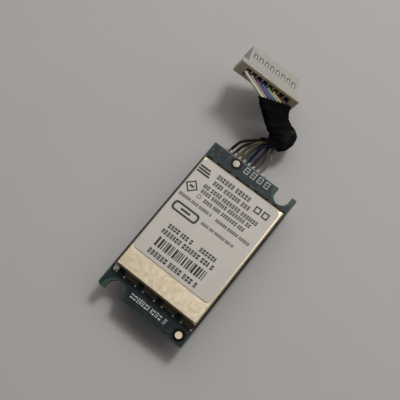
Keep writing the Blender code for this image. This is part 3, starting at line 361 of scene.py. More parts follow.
class LeadLooks(bpy.types.PropertyGroup):
    """Sizes and colours of the lead, its tape and its plugs."""

    wire_diameter: length_setting("Wire diameter", "Over the insulation", 0.56 * MM)
    tape_overlap: length_setting("Tape overlap step", "Rise of each turn of tape", 0.09 * MM)
    tape_pitch: length_setting("Tape pitch", "Advance of each turn of tape", 2.6 * MM)
    tape_colour: colour_setting("Tape", "Woven cloth tape", (0.0014, 0.0015, 0.0015))
    nylon_colour: colour_setting("Far plug", "Natural nylon", (0.31, 0.303, 0.276))
    glow_colour: colour_setting("Wire face", "Nylon yellowed round the wires", (0.56, 0.45, 0.31))
    # Painted light: warm tint of light shining through the nylon onto the shaded wire face
    header_colour: colour_setting("Header", "Nylon of the header", (0.33, 0.31, 0.26))


class StageLooks(bpy.types.PropertyGroup):
    """Floor, lamps and camera."""

    floor_colour: colour_setting("Floor", "Plain pale floor", (0.388, 0.371, 0.366))
    floor_size: length_setting("Floor size", "Side of the square floor", 1.2)
    key_power: number_setting("Key lamp", "Power of the soft key lamp", 1.05, unit="POWER")
    soft_power: number_setting("Soft lamp", "Power of the large soft lamp", 2.5, unit="POWER")
    world_strength: number_setting("Room light", "Strength of the even light of the room", 0.17)
    lens: number_setting("Lens", "Focal length of the camera", 72.0, unit="CAMERA")


class ModuleSettings(bpy.types.PropertyGroup):
    """Everything that the panel shows."""

    board: bpy.props.PointerProperty(type=BoardLooks)
    can: bpy.props.PointerProperty(type=CanLooks)
    label: bpy.props.PointerProperty(type=LabelLooks)
    lead: bpy.props.PointerProperty(type=LeadLooks)
    stage: bpy.props.PointerProperty(type=StageLooks)


# Node trees


class Graph:
    """Adds nodes to one tree and links them."""

    def __init__(self, tree):
        self.tree = tree

    def add(self, kind, values=(), **settings):
        """A node with its settings and its inputs filled."""
        node = self.tree.nodes.new(kind)
        for name, setting in settings.items():
            setattr(node, name, setting)
        return self.fill(node, values)

    def fill(self, node, values):
        """Puts values, sockets or colours without alpha in a node's inputs, by name or number."""
        for key, value in dict(values).items():
            socket = node.inputs[key]
            if isinstance(value, bpy.types.NodeSocket):
                self.tree.links.new(value, socket)
            else:
                socket.default_value = (*value, 1.0) if socket.type == "RGBA" else value
        return node

    def math(self, operation, a, b=0.0):
        return self.add("ShaderNodeMath", {0: a, 1: b}, operation=operation).outputs[0]

    def plus(self, a, b):
        return self.math("ADD", a, b)

    def minus(self, a, b):
        return self.math("SUBTRACT", a, b)

    def times(self, a, b):
        return self.math("MULTIPLY", a, b)

    def larger(self, a, b):
        return self.math("MAXIMUM", a, b)

    def smaller(self, a, b):
        return self.math("MINIMUM", a, b)

    def measure(self, operation, a, b):
        """The distance or the dot product of two vectors."""
        return self.add("ShaderNodeVectorMath", {0: a, 1: b}, operation=operation).outputs["Value"]

    def axes(self, vector=None):
        """The parts of a vector, or of the place."""
        return self.add("ShaderNodeSeparateXYZ", {0: vector or self.place}).outputs

    def facing(self):
        return self.add("ShaderNodeNewGeometry").outputs["Normal"]

    def noise(self, scale, detail=3.0, roughness=0.55):
        values = {"Vector": self.place, "Scale": scale, "Detail": detail, "Roughness": roughness}
        return self.add("ShaderNodeTexNoise", values).outputs["Fac"]

    def span(self, value, low, high, start=0.0, end=1.0):
        """Maps a value from one range to another, smoothly and without overshoot."""
        values = {"Value": value, "From Min": low, "From Max": high, "To Min": start, "To Max": end}
        node = self.add("ShaderNodeMapRange", values, interpolation_type="SMOOTHSTEP")
        return node.outputs["Result"]

    def reach(self, length, band, start=0.0, end=1.0):
        """Maps a length over a band in millimetres."""
        return self.span(length, band[0] * MM, band[1] * MM, start, end)

    def tone(self, noise, start, end):
        """Maps the usual range of a noise."""
        return self.span(noise, *NOISE_RANGE, start, end)

    def blend(self, factor, a, b):
        """Mixes two colours."""
        return self.add("ShaderNodeMix", {0: factor, 6: a, 7: b}, data_type="RGBA").outputs[2]

    def group(self, name, **values):
        """The outputs of an effect from the shared node groups."""
        named = {key.replace("_", " ").title(): value for key, value in values.items()}
        settings = {"node_tree": bpy.data.node_groups[name]}
        return self.add("ShaderNodeGroup", {"Place": self.place, **named}, **settings).outputs

    def drift(self, colour, other, scale=700.0, share=0.5):
        """A colour that drifts into another in soft patches."""
        values = {"colour": colour, "other_colour": other, "scale": scale, "share": share}
        return self.group("colour_drift", **values)["Colour"]


class Finish(Graph):
    """The graph of a new material, with its shader and the object's own coordinates."""

    def __init__(self, name):
        self.material = bpy.data.materials.new(name)
        self.material.use_nodes = True
        super().__init__(self.material.node_tree)
        self.shader = self.tree.nodes["Principled BSDF"]
        self.place = self.add("ShaderNodeTexCoord").outputs["Object"]

    def shade(self, colour, roughness, height, depth, others=()):
        """Fills the shader, with bumps of some depth from a height."""
        bump = self.add("ShaderNodeBump", {"Height": height, "Distance": depth}).outputs["Normal"]
        values = {"Base Color": colour, "Roughness": roughness, "Normal": bump}
        self.fill(self.shader, {**values, **dict(others)})


def scaled(colour, *shares):
    """A colour times one share, or times one for each of its parts."""
    return [part * share for part, share in zip(colour, shares * 3)]


def new_effect(name, inputs, outputs):
    """An empty node group with its sockets, as (graph, sockets in, node to fill)."""
    tree = bpy.data.node_groups.new(name, "ShaderNodeTree")
    kinds = {3: "NodeSocketVector", 4: "NodeSocketColor"}
    for label, default in inputs.items():
        kind = kinds[len(default)] if isinstance(default, tuple) else "NodeSocketFloat"
        tree.interface.new_socket(label, in_out="INPUT", socket_type=kind).default_value = default
    for label, kind in outputs.items():
        tree.interface.new_socket(label, in_out="OUTPUT", socket_type=f"NodeSocket{kind}")
    graph = Graph(tree)
    given = graph.add("NodeGroupInput").outputs
    graph.place = given["Place"]
    return graph, given, graph.add("NodeGroupOutput")


def build_effects():
    """The node groups that several finishes share."""
    grain, given, made = new_effect(
        "fine_grain",
        {"Place": (0.0, 0.0, 0.0), "Scale": 8000.0, "Broad Scale": 900.0, "Broad Share": 0.35},
        {"Height": "Float", "Tone": "Float"},
    )
    fine = grain.noise(given["Scale"], 4.0)
    broad = grain.noise(given["Broad Scale"], 2.0)
    height = grain.plus(fine, grain.times(broad, given["Broad Share"]))
    grain.fill(made, {"Height": height, "Tone": broad})

    drift, given, made = new_effect(
        "colour_drift",
        {"Place": (0.0, 0.0, 0.0), "Scale": 700.0, "Colour": (1.0, 1.0, 1.0, 1.0),
         "Other Colour": (0.0, 0.0, 0.0, 1.0), "Share": 0.5},
        {"Colour": "Color"},
    )
    patches = drift.tone(drift.noise(given["Scale"], 4.0, 0.6), 0.0, 1.0)
    mask = drift.times(patches, given["Share"])
    drift.fill(made, {"Colour": drift.blend(mask, given["Colour"], given["Other Colour"])})

    tin, given, made = new_effect(
        "tin_plate",
        {"Place": (0.0, 0.0, 0.0), "Scale": 1500.0, "Bright": (0.8, 0.8, 0.8, 1.0),
         "Dull": (0.4, 0.4, 0.4, 1.0), "Low Roughness": 0.2, "High Roughness": 0.4},
        {"Colour": "Color", "Roughness": "Float", "Height": "Float"},
    )
    cloud = tin.span(tin.noise(given["Scale"], 5.0, 0.65), 0.35, 0.75)
    speck = tin.span(tin.noise(tin.times(given["Scale"], 9.0), 2.0), 0.55, 0.8)
    rough = tin.times(cloud, tin.minus(given["High Roughness"], given["Low Roughness"]))
    tin.fill(made, {
        "Colour": tin.blend(cloud, given["Bright"], given["Dull"]),
        "Roughness": tin.plus(rough, given["Low Roughness"]),
        "Height": tin.plus(cloud, tin.times(speck, 0.5)),
    })


def moulded_finish(name, colour, other, roughness, depth=0.006 * MM, scale=6000.0, share=0.5, soft=0.0):
    """A moulded or painted surface: drifting tone and a fine grain."""
    graph = Finish(name)
    grain = graph.group("fine_grain", scale=scale)
    graph.shade(graph.drift(colour, other, share=share), graph.tone(grain["Tone"], *roughness),
                grain["Height"], depth)
    if soft:
        graph.fill(graph.shader, {"Subsurface Weight": soft, "Subsurface Radius": NYLON_SPREAD,
                                  "Subsurface Scale": NYLON_DEPTH})
    return graph


def tin_finish(name, bright, dull, roughness, scale=1500.0):
    """Tin plate all over."""
    graph = Finish(name)
    low, high = roughness
    tin = graph.group("tin_plate", scale=scale, bright=bright, dull=dull, low_roughness=low,
                      high_roughness=high)
    graph.shade(tin["Colour"], tin["Roughness"], tin["Height"], 0.004 * MM, {"Metallic": 1.0})
    return graph


def mask_tone(graph, axes, looks):
    """Solder mask, dark over copper and greener over bare laminate at the board's rim and notches, with
    painted shade towards the near end and beside the can.
    """
    insets = [graph.minus(half, graph.math("ABSOLUTE", axes[k])) for k, half in enumerate(BOARD_HALF)]
    wander = graph.times(graph.noise(900.0, 2.0), 0.25 * MM)
    copper = graph.reach(graph.plus(graph.smaller(*insets), wander), COPPER_INSET)
    flat = {0: graph.place, 1: (1.0, 1.0, 0.0)}
    plan = graph.add("ShaderNodeVectorMath", flat, operation="MULTIPLY").outputs[0]
    for x, y, radius in NOTCH_CLEARINGS:
        gap = graph.measure("DISTANCE", plan, (x, y, 0.0))
        copper = graph.times(copper, graph.span(gap, radius, radius + NOTCH_FADE))
    # Painted shade: mask over copper painted darker towards the near end, lighter towards the lead
    shade_gradient = graph.reach(axes[1], NEAR_END_SHADE_ALONG)
    coppered = graph.blend(shade_gradient, scaled(looks.mask_colour, 0.62), scaled(looks.mask_colour, 0.82))
    # Painted shadow: the green bare rim is darkened to half the mask colour beside the can, and partly at
    # the near end's right part
    near_edge = graph.times(graph.reach(axes[1], NEAR_EDGE_ALONG, 0.6, 0.0),
                            graph.reach(axes[0], NEAR_EDGE_ACROSS))
    beside_can = graph.reach(graph.math("ABSOLUTE", axes[1]), CAN_SIDE, 1.0, 0.0)
    bare = graph.blend(graph.larger(near_edge, beside_can), looks.bare_mask_colour,
                       scaled(looks.mask_colour, 0.5))
    weave = graph.span(graph.noise(5200.0), 0.45, 0.8, 0.0, 0.3)
    return graph.blend(weave, graph.blend(copper, bare, coppered), scaled(looks.mask_colour, 2.2))


def solder_tone(graph, axes, above, near_pad, looks):
    """Tin of the pads and beads: a painted highlight on the near feet, stained at the lead end."""
    bright = looks.can.tin_colour
    tin = graph.group("tin_plate", scale=2600.0, bright=bright, dull=scaled(bright, 0.7),
                      low_roughness=0.4, high_roughness=0.55)
    # Painted highlight: the solder on the near feet is brightened, fading towards the middle
    near_feet_highlight = graph.times(graph.reach(axes[1], NEAR_FEET_ALONG),
                        graph.reach(axes[1], NEAR_FEET_FADE, 0.9, 0.0))
    solder = graph.blend(near_feet_highlight, tin["Colour"], looks.can.solder_colour)
    solder = graph.blend(near_pad, solder, looks.board.near_pad_highlight_colour)
    stain = graph.minus(graph.reach(axes[1], LEAD_FEET_START, 0.0, 0.93),
                        graph.reach(axes[1], LEAD_FEET_END, 0.0, 0.7))
    return graph.blend(graph.times(above, stain), solder, looks.board.stain_colour)


def capped_finish(name, body, tin, node):
    """Ceramic with tinned ends, across the long side of one chip."""
    low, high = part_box(node)
    half = (high.x - low.x) / 2
    graph = Finish(name)
    away = graph.math("ABSOLUTE", graph.minus(graph.axes()[0], low.x + half))
    caps = graph.span(away, *(half * share for share in CAP_SHARE))
    plate = graph.group("tin_plate", scale=4000.0, bright=tin, dull=scaled(tin, 0.7))
    colour = graph.blend(caps, graph.drift(body, scaled(body, 0.8), 2500.0), plate["Colour"])
    graph.shade(colour, plate["Roughness"], plate["Height"], 0.003 * MM, {"Metallic": caps})
    return graph


def insulation_finish(name, colour, shade_colour):
    """Glossy insulation, darkened by painted shade from the header as far as the tape."""
    graph = Finish(name)
    wander = graph.times(graph.noise(600.0, 2.0), 1.5 * MM)
    # Painted shade: the wires darken from the header as far as the tape
    dull = graph.reach(graph.plus(graph.axes()[1], wander), SHADE_REACH, 0.95, 0.0)
    grain = graph.group("fine_grain", scale=5000.0)
    graph.shade(graph.blend(dull, graph.drift(colour, scaled(colour, 0.8)), shade_colour),
                graph.tone(grain["Tone"], 0.3, 0.45), grain["Height"], 0.003 * MM,
                {"Specular IOR Level": 0.3})
    return graph


def plug_finish(colour, glow):
    """Cloudy nylon, with a painted warm glow of light through the nylon on the far plug's wire face."""
    graph = moulded_finish("nylon_finish", colour, scaled(colour, 0.9, 0.89, 0.84), (0.34, 0.48),
                           scale=3500.0, soft=0.7)
    # Painted light: faces turned to the wire side take the warm glow colour
    wire_side = LAPTOP_PLUG_TURN @ Vector((0.0, -1.0, 0.0))
    mask = graph.span(graph.measure("DOT_PRODUCT", graph.facing(), wire_side), 0.7, 0.95, 0.0, 0.85)
    clean = graph.shader.inputs["Base Color"].links[0].from_socket
    graph.fill(graph.shader, {"Base Color": graph.blend(mask, clean, glow)})
    return graph


def cloth_finish(colour):
    """Woven threads in two directions, with painted highlights as pale glints at the elbow."""
    graph = Finish("cloth_finish")
    waves = [graph.math("SINE", graph.times(graph.measure("DOT_PRODUCT", graph.place, lean),
                                            math.tau / THREAD_PITCH)) for lean in THREAD_LEANS]
    fuzz = graph.noise(9000.0)
    height = graph.plus(graph.larger(*waves), fuzz)
    # Painted highlight: pale glints on the threads near the elbow
    near_elbow = graph.measure("DISTANCE", graph.place, TAPE_ELBOW)
    glints = graph.times(graph.reach(near_elbow, GLINT_REACH, 1.0, 0.06),
                         graph.span(graph.noise(900.0), 0.4, 0.65, 0.25, 1.0))
    lit = graph.times(graph.span(height, 0.9, 1.7), glints)
    cloth = graph.drift(colour, scaled(colour, 2.2), 1200.0)
    graph.shade(graph.blend(lit, cloth, scaled(colour, 34)), graph.tone(fuzz, 0.55, 0.85), height,
                0.03 * MM, {"Specular IOR Level": 0.04})
    return graph


# Shapes


def add_object(name, data):
    made = bpy.data.objects.new(name, data)
    bpy.context.scene.collection.objects.link(made)
    return made


def to_mesh(name, shape, finish):
    """A mesh with its finish, from a shape that is then let go."""
    mesh = bpy.data.meshes.new(name)
    shape.to_mesh(mesh)
    shape.free()
    mesh.materials.append(finish.material)
    return mesh


def new_piece(name, shape, finish, smooth=False):
    """A mesh piece that rides on the module."""
    bmesh.ops.recalc_face_normals(shape, faces=shape.faces)
    mesh = to_mesh(name, shape, finish)
    if smooth:
        mesh.shade_smooth()
    piece = add_object(name, mesh)
    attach(piece, "root")
    return piece


def dress(finish, *nodes):
    """Gives CAD nodes a finish."""
    for name in nodes:
        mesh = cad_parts[name].data
        mesh.materials.clear()
        mesh.materials.append(finish.material)


def skin(shape, loops, closed=False):
    """Skins loops of points that have the same count, and caps the ends or joins them."""
    rings = [[shape.verts.new(point) for point in loop] for loop in loops]
    for near, far in zip(rings, rings[1:] + rings[:1] if closed else rings[1:]):
        for i in range(len(near)):
            j = (i + 1) % len(near)
            shape.faces.new((near[i], near[j], far[j], far[i]))
    if not closed:
        shape.faces.new(rings[0])
        shape.faces.new(rings[-1])


def add_plate(shape, x0, y0, x1, y1, low, high):
    """A flat block between two heights."""
    skin(shape, [[(x0, y0, z), (x1, y0, z), (x1, y1, z), (x0, y1, z)] for z in (low, high)])


def around(x, y, radius, steps, start=0.0):
    turns = [start + math.tau * k / steps for k in range(steps)]
    return [(x + radius * math.cos(turn), y + radius * math.sin(turn)) for turn in turns]


def rounded_square(corner_x, corner_y, steps=5):
    """A square from -1 to 1 with its corners rounded by a share of each half side."""
    outline = []
    for sx, sy, start in ((1, 1, 0), (-1, 1, 90), (-1, -1, 180), (1, -1, 270)):
        for k in range(steps + 1):
            turn = math.radians(start + 90 * k / steps)
            outline.append((sx * (1 - corner_x) + corner_x * math.cos(turn),
                            sy * (1 - corner_y) + corner_y * math.sin(turn)))
    return outline


def add_ring(shape, outer, inner, low, high):
    """A flat ring between two outlines that have the same count."""
    levels = ((outer, low), (outer, high), (inner, high), (inner, low))
    skin(shape, [[(x, y, z) for x, y in outline] for outline, z in levels], closed=True)


def add_marks(shape, row, low, high, seed, stroke=1.0):
    """A row of small plain bars, alone or stacked in twos and threes, in groups."""
    x, right, middle, height = (length * MM for length in row)
    draw = random.Random(seed)
    group = draw.randint(3, 7)
    while True:
        bars = draw.choice((1, 2, 2, 3, 3))
        wide = height * (BAR_WIDTH * stroke if bars == 1 else STACK_WIDTH)
        if x + wide > right:
            break
        thick = height / (1 + BAR_PITCH * (bars - 1))
        for k in range(bars):
            base = middle - height / 2 + BAR_PITCH * k * thick
            add_plate(shape, x, base, x + wide, base + (thick if bars == 1 else stroke * thick), low, high)
        x += wide + height * MARK_GAP
        group -= 1
        if group == 0:
            x += height * GROUP_GAP
            group = draw.randint(3, 7)


def add_bar_code(shape, low, high):
    """Plain upright bars."""
    x, right, bottom, top = (edge * MM for edge in BAR_CODE)
    draw = random.Random(BAR_CODE_SEED)
    while x < right - max(BAR_CODE_WIDTHS) * MM:
        wide = draw.choice(BAR_CODE_WIDTHS) * MM
        add_plate(shape, x, bottom, x + wide, top, low, high)
        x += wide + draw.choice(BAR_CODE_GAPS) * MM


def add_emblems(shape, low, high):
    """Three bars, a diamond, squares and a rounded frame."""
    for sides in EMBLEM_PLATES:
        add_plate(shape, *(side * MM for side in sides), low, high)
    for x, y, outer, inner, turn in EMBLEM_RINGS:
        outlines = (around(x * MM, y * MM, radius * MM, 4, turn) for radius in (outer, inner))
        add_ring(shape, *outlines, low, high)
    x, y = FRAME_MIDDLE
    outlines = ([((x + cx * half_x) * MM, (y + cy * half_y) * MM) for cx, cy in rounded_square(*corners)]
                for (half_x, half_y), corners in FRAME_SIDES)
    add_ring(shape, *outlines, low, high)


def add_box_mark(shape, x, y, low, high):
    """An empty printed box with a dot in its middle."""
    outlines = ([(x + sx * (BOX_HALF.x - inset), y + sy * (BOX_HALF.y - inset)) for sx, sy in
                 ((-1, -1), (1, -1), (1, 1), (-1, 1))] for inset in (0.0, BOX_STROKE))
    add_ring(shape, *outlines, low, high)
    add_plate(shape, x - BOX_DOT, y - BOX_DOT, x + BOX_DOT, y + BOX_DOT, low, high)


def add_track(shape, points, width, low, high):
    """A flat track with mitred corners."""
    places = [Vector(point) for point in points]
    ways = [(b - a).normalized() for a, b in zip(places, places[1:])]
    loops = []
    for place, before, after in zip(places, (ways[0], *ways), (*ways, ways[-1])):
        along = (before + after).normalized()
        across = Vector((-along.y, along.x)) * (width / 2 / max(0.5, along.dot(after)))
        a, b = place + across, place - across
        loops.append([(a.x, a.y, low), (b.x, b.y, low), (b.x, b.y, high), (a.x, a.y, high)])
    skin(shape, loops)


def add_via(shape, x, y, low, high):
    add_ring(shape, around(x, y, VIA_RADIUS, 12), around(x, y, VIA_HOLE, 12), low, high)


def pin_x(way):
    return HEADER_CENTRE_X + (way - (WAYS - 1) / 2) * HEADER_PITCH


def underside_tracks():
    """A track from each header pin's foot, and one from each test pad."""
    tracks = []
    for way in range(WAYS):
        x, foot, end = pin_x(way), 10.4 * MM, (6.9 - 0.42 * (way % 4)) * MM
        turn = (0.35 if way % 2 else -0.35) * MM
        tracks.append([(x, foot), (x, end + 1.2 * MM), (x + turn, end + 0.85 * MM), (x + turn, end)])
    for k in range(6):
        x, pad, step = (k - 2.5) * 1.8 * MM, 2.4 * MM, 0.4 * MM
        bend = pad - (0.7 + 0.5 * (k % 3)) * MM
        tracks.append([(x, pad), (x, bend), (x + step, bend - step), (x + step, bend - 1.5 * MM)])
    return tracks


def smooth_curve(points, steps):
    """A Catmull-Rom curve through the points, with some steps between each two."""
    points = [Vector(point) for point in points]
    ends = [2 * points[0] - points[1], *points, 2 * points[-1] - points[-2]]
    dense = []
    for a, b, c, d in zip(ends, ends[1:], ends[2:], ends[3:]):
        for k in range(steps):
            t = k / steps
            bend = (2 * a - 5 * b + 4 * c - d) * t**2 + (3 * b - a - 3 * c + d) * t**3
            dense.append(0.5 * (2 * b + (c - a) * t + bend))
    return [*dense, points[-1]]


def wrap_sections(steps):
    """Middle, way across, way up, half sizes and distance run, all along the tape."""
    lefts = smooth_curve([Vector(left) * MM for left, right, thickness in WRAP_STATIONS], steps)
    rights = smooth_curve([Vector(right) * MM for left, right, thickness in WRAP_STATIONS], steps)
    depths = smooth_curve([(thickness * MM, 0, 0) for left, right, thickness in WRAP_STATIONS], steps)
    middles = [(left + right) / 2 for left, right in zip(lefts, rights)]
    sections = []
    run = 0.0
    for k, middle in enumerate(middles):
        before = middles[max(k - 1, 0)]
        along = middles[min(k + 1, len(middles) - 1)] - before
        run += (middle - before).length
        half = (rights[k] - lefts[k]) / 2
        up = along.cross(half).normalized()
        sections.append((middle, half.normalized(), up, half.length, depths[k].x / 2, run))
    return sections


def tape_point(section, turn, rise):
    """A point on the squarish oval of one section, raised from it."""
    middle, across, up, wide, thick, run = section
    u, v = (math.copysign(abs(part) ** (2 / WRAP_SQUARENESS), part)
            for part in (math.cos(turn), math.sin(turn)))
    return middle + across * u * (wide + rise) + up * v * (thick + rise)


def tape_rise(run, turn, length, looks):
    """How far the tape stands out: the step of each turn, folds at the bend and small creases."""
    spiral = (run / looks.tape_pitch + turn / math.tau) % 1.0
    step = 1 - spiral / LAP_SHARE if spiral < LAP_SHARE else (spiral - LAP_SHARE) / (1 - LAP_SHARE)
    bend = math.exp(-(((run / length - BEND_PLACE) / BEND_SPREAD) ** 2))
    inner_side = 0.5 - 0.5 * math.cos(turn)
    folds = FOLD_RISE * bend * (0.3 + inner_side) * (0.5 + 0.5 * math.sin(run / FOLD_WAVE + 2 * turn))
    ripple = math.sin(run / CREASE_WAVE + 3 * turn) * math.sin(2.3 * turn + run / CREASE_DRIFT)
    return looks.tape_overlap * step + folds + CREASE_RISE * (1 + ripple)


def belt_place(travel, run, radius):
    """A place on a flat belt, by how far it is along it from the middle of its upper run."""
    length = 4 * run + math.tau * radius
    travel = (travel + run) % length - run
    turned = travel > run + math.pi * radius
    if turned:
        travel -= length / 2
    if travel <= run:
        place = (travel, radius)
    else:
        angle = (travel - run) / radius
        place = (run + radius * math.sin(angle), radius * math.cos(angle))
    return (-place[0], -place[1]) if turned else place


def place_in_wrap(section, way, diameter):
    """Where a wire lies in one section of the tape."""
    middle, across, up, wide, thick, run = section
    clear = WRAP_WALL + WRAP_CLEARANCE + diameter / 2
    radius = thick - clear
    straight = wide - clear - radius
    step = (4 * straight + math.tau * radius) / WAYS
    slot = way / 2 if way % 2 == 0 else WAYS - (way + 1) / 2
    changed = min(1.0, max(0.0, (BELT_END - run) / (BELT_END - BELT_START)))
    shift = WAYS / 2 * changed - (WAYS / 2 - 1) / 2 - LAYER_STAGGER
    x, z = belt_place((slot + shift) * step, straight, radius)
    spread = max(0.0, 1 - run / SPREAD_LENGTH)
    row = (1 - 2 * way / (WAYS - 1)) * (wide - clear)
    return middle + across * (x + (row - x) * spread) + up * z * (1 - spread / 2)


def wire_route(way, rise, diameter):
    """The smooth line of one wire from its crimp in the header's plug to its crimp in the far plug."""
    cell = [(pin_x(way), MODULE_FACE_Y + depth, HEADER_MIDDLE_Z)
            for depth in (-MODULE_WIRE_DEPTH, 0.0, MODULE_CELL_DEPTH)]
    inside = [place_in_wrap(section, way, diameter) for section in wrap_sections(2)]
    entry = inside[-1] + (inside[-1] - inside[-2]).normalized() * ENTRY_RUN
    leave = inside[0] + (inside[0] - inside[1]).normalized() * LEAVE_RUN
    pose = Matrix.Translation(LAPTOP_PLUG_AT) @ LAPTOP_PLUG_TURN.to_4x4()
    far = ((WAYS - 1) / 2 - way) * LAPTOP_PITCH
    socket = [pose @ Vector((far, depth, 0.0))
              for depth in (-SOCKET_RUN, 0.0, LAPTOP_WIRE_DEPTH / 2, LAPTOP_WIRE_DEPTH)]
    rise = [Vector(point) * MM for point in rise]
    return smooth_curve([*cell, *rise, entry, *reversed(inside), leave, *socket], WIRE_STEPS)


# Operators


class DressOperator:
    """What the operators of this file share."""

    bl_options = {"REGISTER", "UNDO"}

    @property
    def looks(self):
        return bpy.context.scene.module_settings


class MODULE_OT_make_effects(DressOperator, bpy.types.Operator):
    """Shared effects that the finishes are made of: grain, drifting colour and tin plate"""

    bl_idname = "module.make_effects"
    bl_label = "Make Effects"

    def execute(self, context):
        build_effects()
        return {"FINISHED"}


class MODULE_OT_dress_board(DressOperator, bpy.types.Operator):
    """Solder mask, copper areas, bare rings and tinned pads of the circuit board"""

    bl_idname = "module.dress_board"
    bl_label = "Dress Board"

    def execute(self, context):
        looks = self.looks.board
        graph = Finish("board_finish")
        axes = graph.axes()
        ring = graph.larger(*(graph.reach(graph.measure("DISTANCE", graph.place, (x, y, BOARD_TOP)),
                                          PAD_RING, 1.0, 0.0) for x, y in ALIGNMENT_PADS))
        colour = graph.blend(ring, mask_tone(graph, axes, looks), looks.laminate_colour)
        above = graph.reach(graph.minus(axes[2], BOARD_TOP), TIN_RISE)
        below = graph.reach(graph.minus(BOARD_UNDERSIDE, axes[2]), TIN_RISE)
        tinned = graph.larger(above, below)
        # Painted highlight on the near pad: brighter colour and less metal
        near_pad = graph.reach(axes[1], NEAR_PAD_ALONG, 1.0, 0.0)
        solder = solder_tone(graph, axes, above, near_pad, self.looks)
        level = graph.math("ABSOLUTE", graph.axes(graph.facing())[2])
        cut_edge = graph.times(graph.reach(graph.minus(BOARD_TOP, axes[2]), MASK_DEPTH),
                               graph.span(level, 0.3, 0.6, 1.0, 0.0))
        colour = graph.blend(cut_edge, colour, looks.edge_colour)
        grain = graph.group("fine_grain", scale=5200.0, broad_scale=1300.0)
        dull = graph.times(graph.minus(cut_edge, graph.times(ring, 0.6)), 0.35)
        roughness = graph.plus(graph.tone(grain["Tone"], 0.32, 0.46), dull)
        metallic = graph.times(tinned, graph.minus(1.0, graph.times(near_pad, 0.65)))
        graph.shade(graph.blend(tinned, colour, solder), roughness, grain["Height"], 0.006 * MM,
                    {"Metallic": metallic, "Specular IOR Level": 0.24})
        dress(graph, "circuit_board")
        return {"FINISHED"}


class MODULE_OT_print_board(DressOperator, bpy.types.Operator):
    """Marks, vias and tracks on both faces of the circuit board"""

    bl_idname = "module.print_board"
    bl_label = "Print Board"

    def execute(self, context):
        looks = self.looks.board
        sunk, raised = BOARD_TOP - SUNK, BOARD_UNDERSIDE + SUNK
        ink = moulded_finish("board_print_finish", looks.print_colour, scaled(looks.print_colour, 0.7),
                             (0.5, 0.7), scale=9000.0)
        shape = bmesh.new()
        high = BOARD_TOP + PRINT_RISE
        for box in range(BOX_COUNT):
            add_box_mark(shape, BOX_START + BOX_PITCH * box, BOX_Y, sunk, high)
        add_marks(shape, BOARD_ROW, sunk, high, BOARD_ROW_SEED, THIN_STROKE)
        new_piece("board_print", shape, ink)

        cover = moulded_finish("board_track_finish", scaled(looks.mask_colour, 1.35),
                               looks.bare_mask_colour, (0.3, 0.42))
        shape = bmesh.new()
        for points in TOP_TRACKS:
            places = [(x * MM, y * MM) for x, y in points]
            add_track(shape, places, TRACK_WIDTH, sunk, BOARD_TOP + TRACK_RISE)
        for places in underside_tracks():
            add_track(shape, places, UNDERSIDE_TRACK_WIDTH, BOARD_UNDERSIDE - TRACK_RISE, raised)
        new_piece("board_tracks", shape, cover)

        tin = self.looks.can.tin_colour
        plated = tin_finish("via_finish", scaled(tin, 0.16), scaled(tin, 0.08), (0.4, 0.6))
        shape = bmesh.new()
        for x, y in TOP_VIAS:
            add_via(shape, x * MM, y * MM, sunk, BOARD_TOP + VIA_RISE)
        for places in underside_tracks():
            add_via(shape, *places[-1], BOARD_UNDERSIDE - VIA_RISE, raised)
        new_piece("board_vias", shape, plated)
        return {"FINISHED"}


class MODULE_OT_dress_can(DressOperator, bpy.types.Operator):
    """Tinned sheet of the shield can, with painted shade on its bends and walls"""

    bl_idname = "module.dress_can"
    bl_label = "Dress Can"

    def execute(self, context):
        looks = self.looks.can
        graph = Finish("can_finish")
        tin = graph.group("tin_plate", scale=1500.0, bright=looks.sheet_colour,
                          dull=scaled(looks.sheet_colour, 0.86), low_roughness=0.34,
                          high_roughness=0.46)
        drift = graph.drift(tin["Colour"], scaled(looks.sheet_colour, 0.84, 0.8, 0.7), 330.0, 0.65)
        axes = graph.axes()
        depth = graph.minus(can_high.z, axes[2])
        smudge = graph.times(graph.noise(1400.0, 4.0), 0.4 * MM)
        lead_end = graph.reach(graph.minus(axes[1], can_high.y), LEAD_WALL)
        right_side = graph.reach(graph.minus(axes[0], can_high.x), RIGHT_BEND, 0.0, 0.75)
        # Painted shade: the sheet darkens below the top and on the lead end's wall
        walls = graph.larger(graph.reach(graph.plus(depth, smudge), WALL_DEPTH, 0.0, 0.92),
                             graph.times(lead_end, graph.reach(depth, LEAD_WALL_DEPTH)))
        # Painted shade: bend facets darkened to take out their highlight, except at the lead end and right
        # side
        upward = graph.axes(graph.facing())[2]
        bend_shade = graph.times(graph.span(upward, 0.97, 0.995, 0.85, 0.0),
                            graph.minus(1.0, graph.larger(lead_end, right_side)))
        painted_shade = graph.larger(walls, bend_shade)
        # Painted shade: the lead end's wall is made nearly black
        wall = graph.blend(lead_end, looks.wall_shade_colour, scaled(looks.wall_shade_colour, 0.12))
        corner = graph.measure("DISTANCE", graph.place, SOLDERED_CORNER)
        colour = graph.blend(graph.reach(corner, CORNER_SOLDER, 0.9, 0.0),
                             graph.blend(painted_shade, drift, wall), looks.solder_colour)
        graph.shade(colour, graph.plus(tin["Roughness"], graph.times(painted_shade, 0.2)), tin["Height"],
                    0.0018 * MM, {"Metallic": 1.0})
        dress(graph, "shield_can")
        return {"FINISHED"}


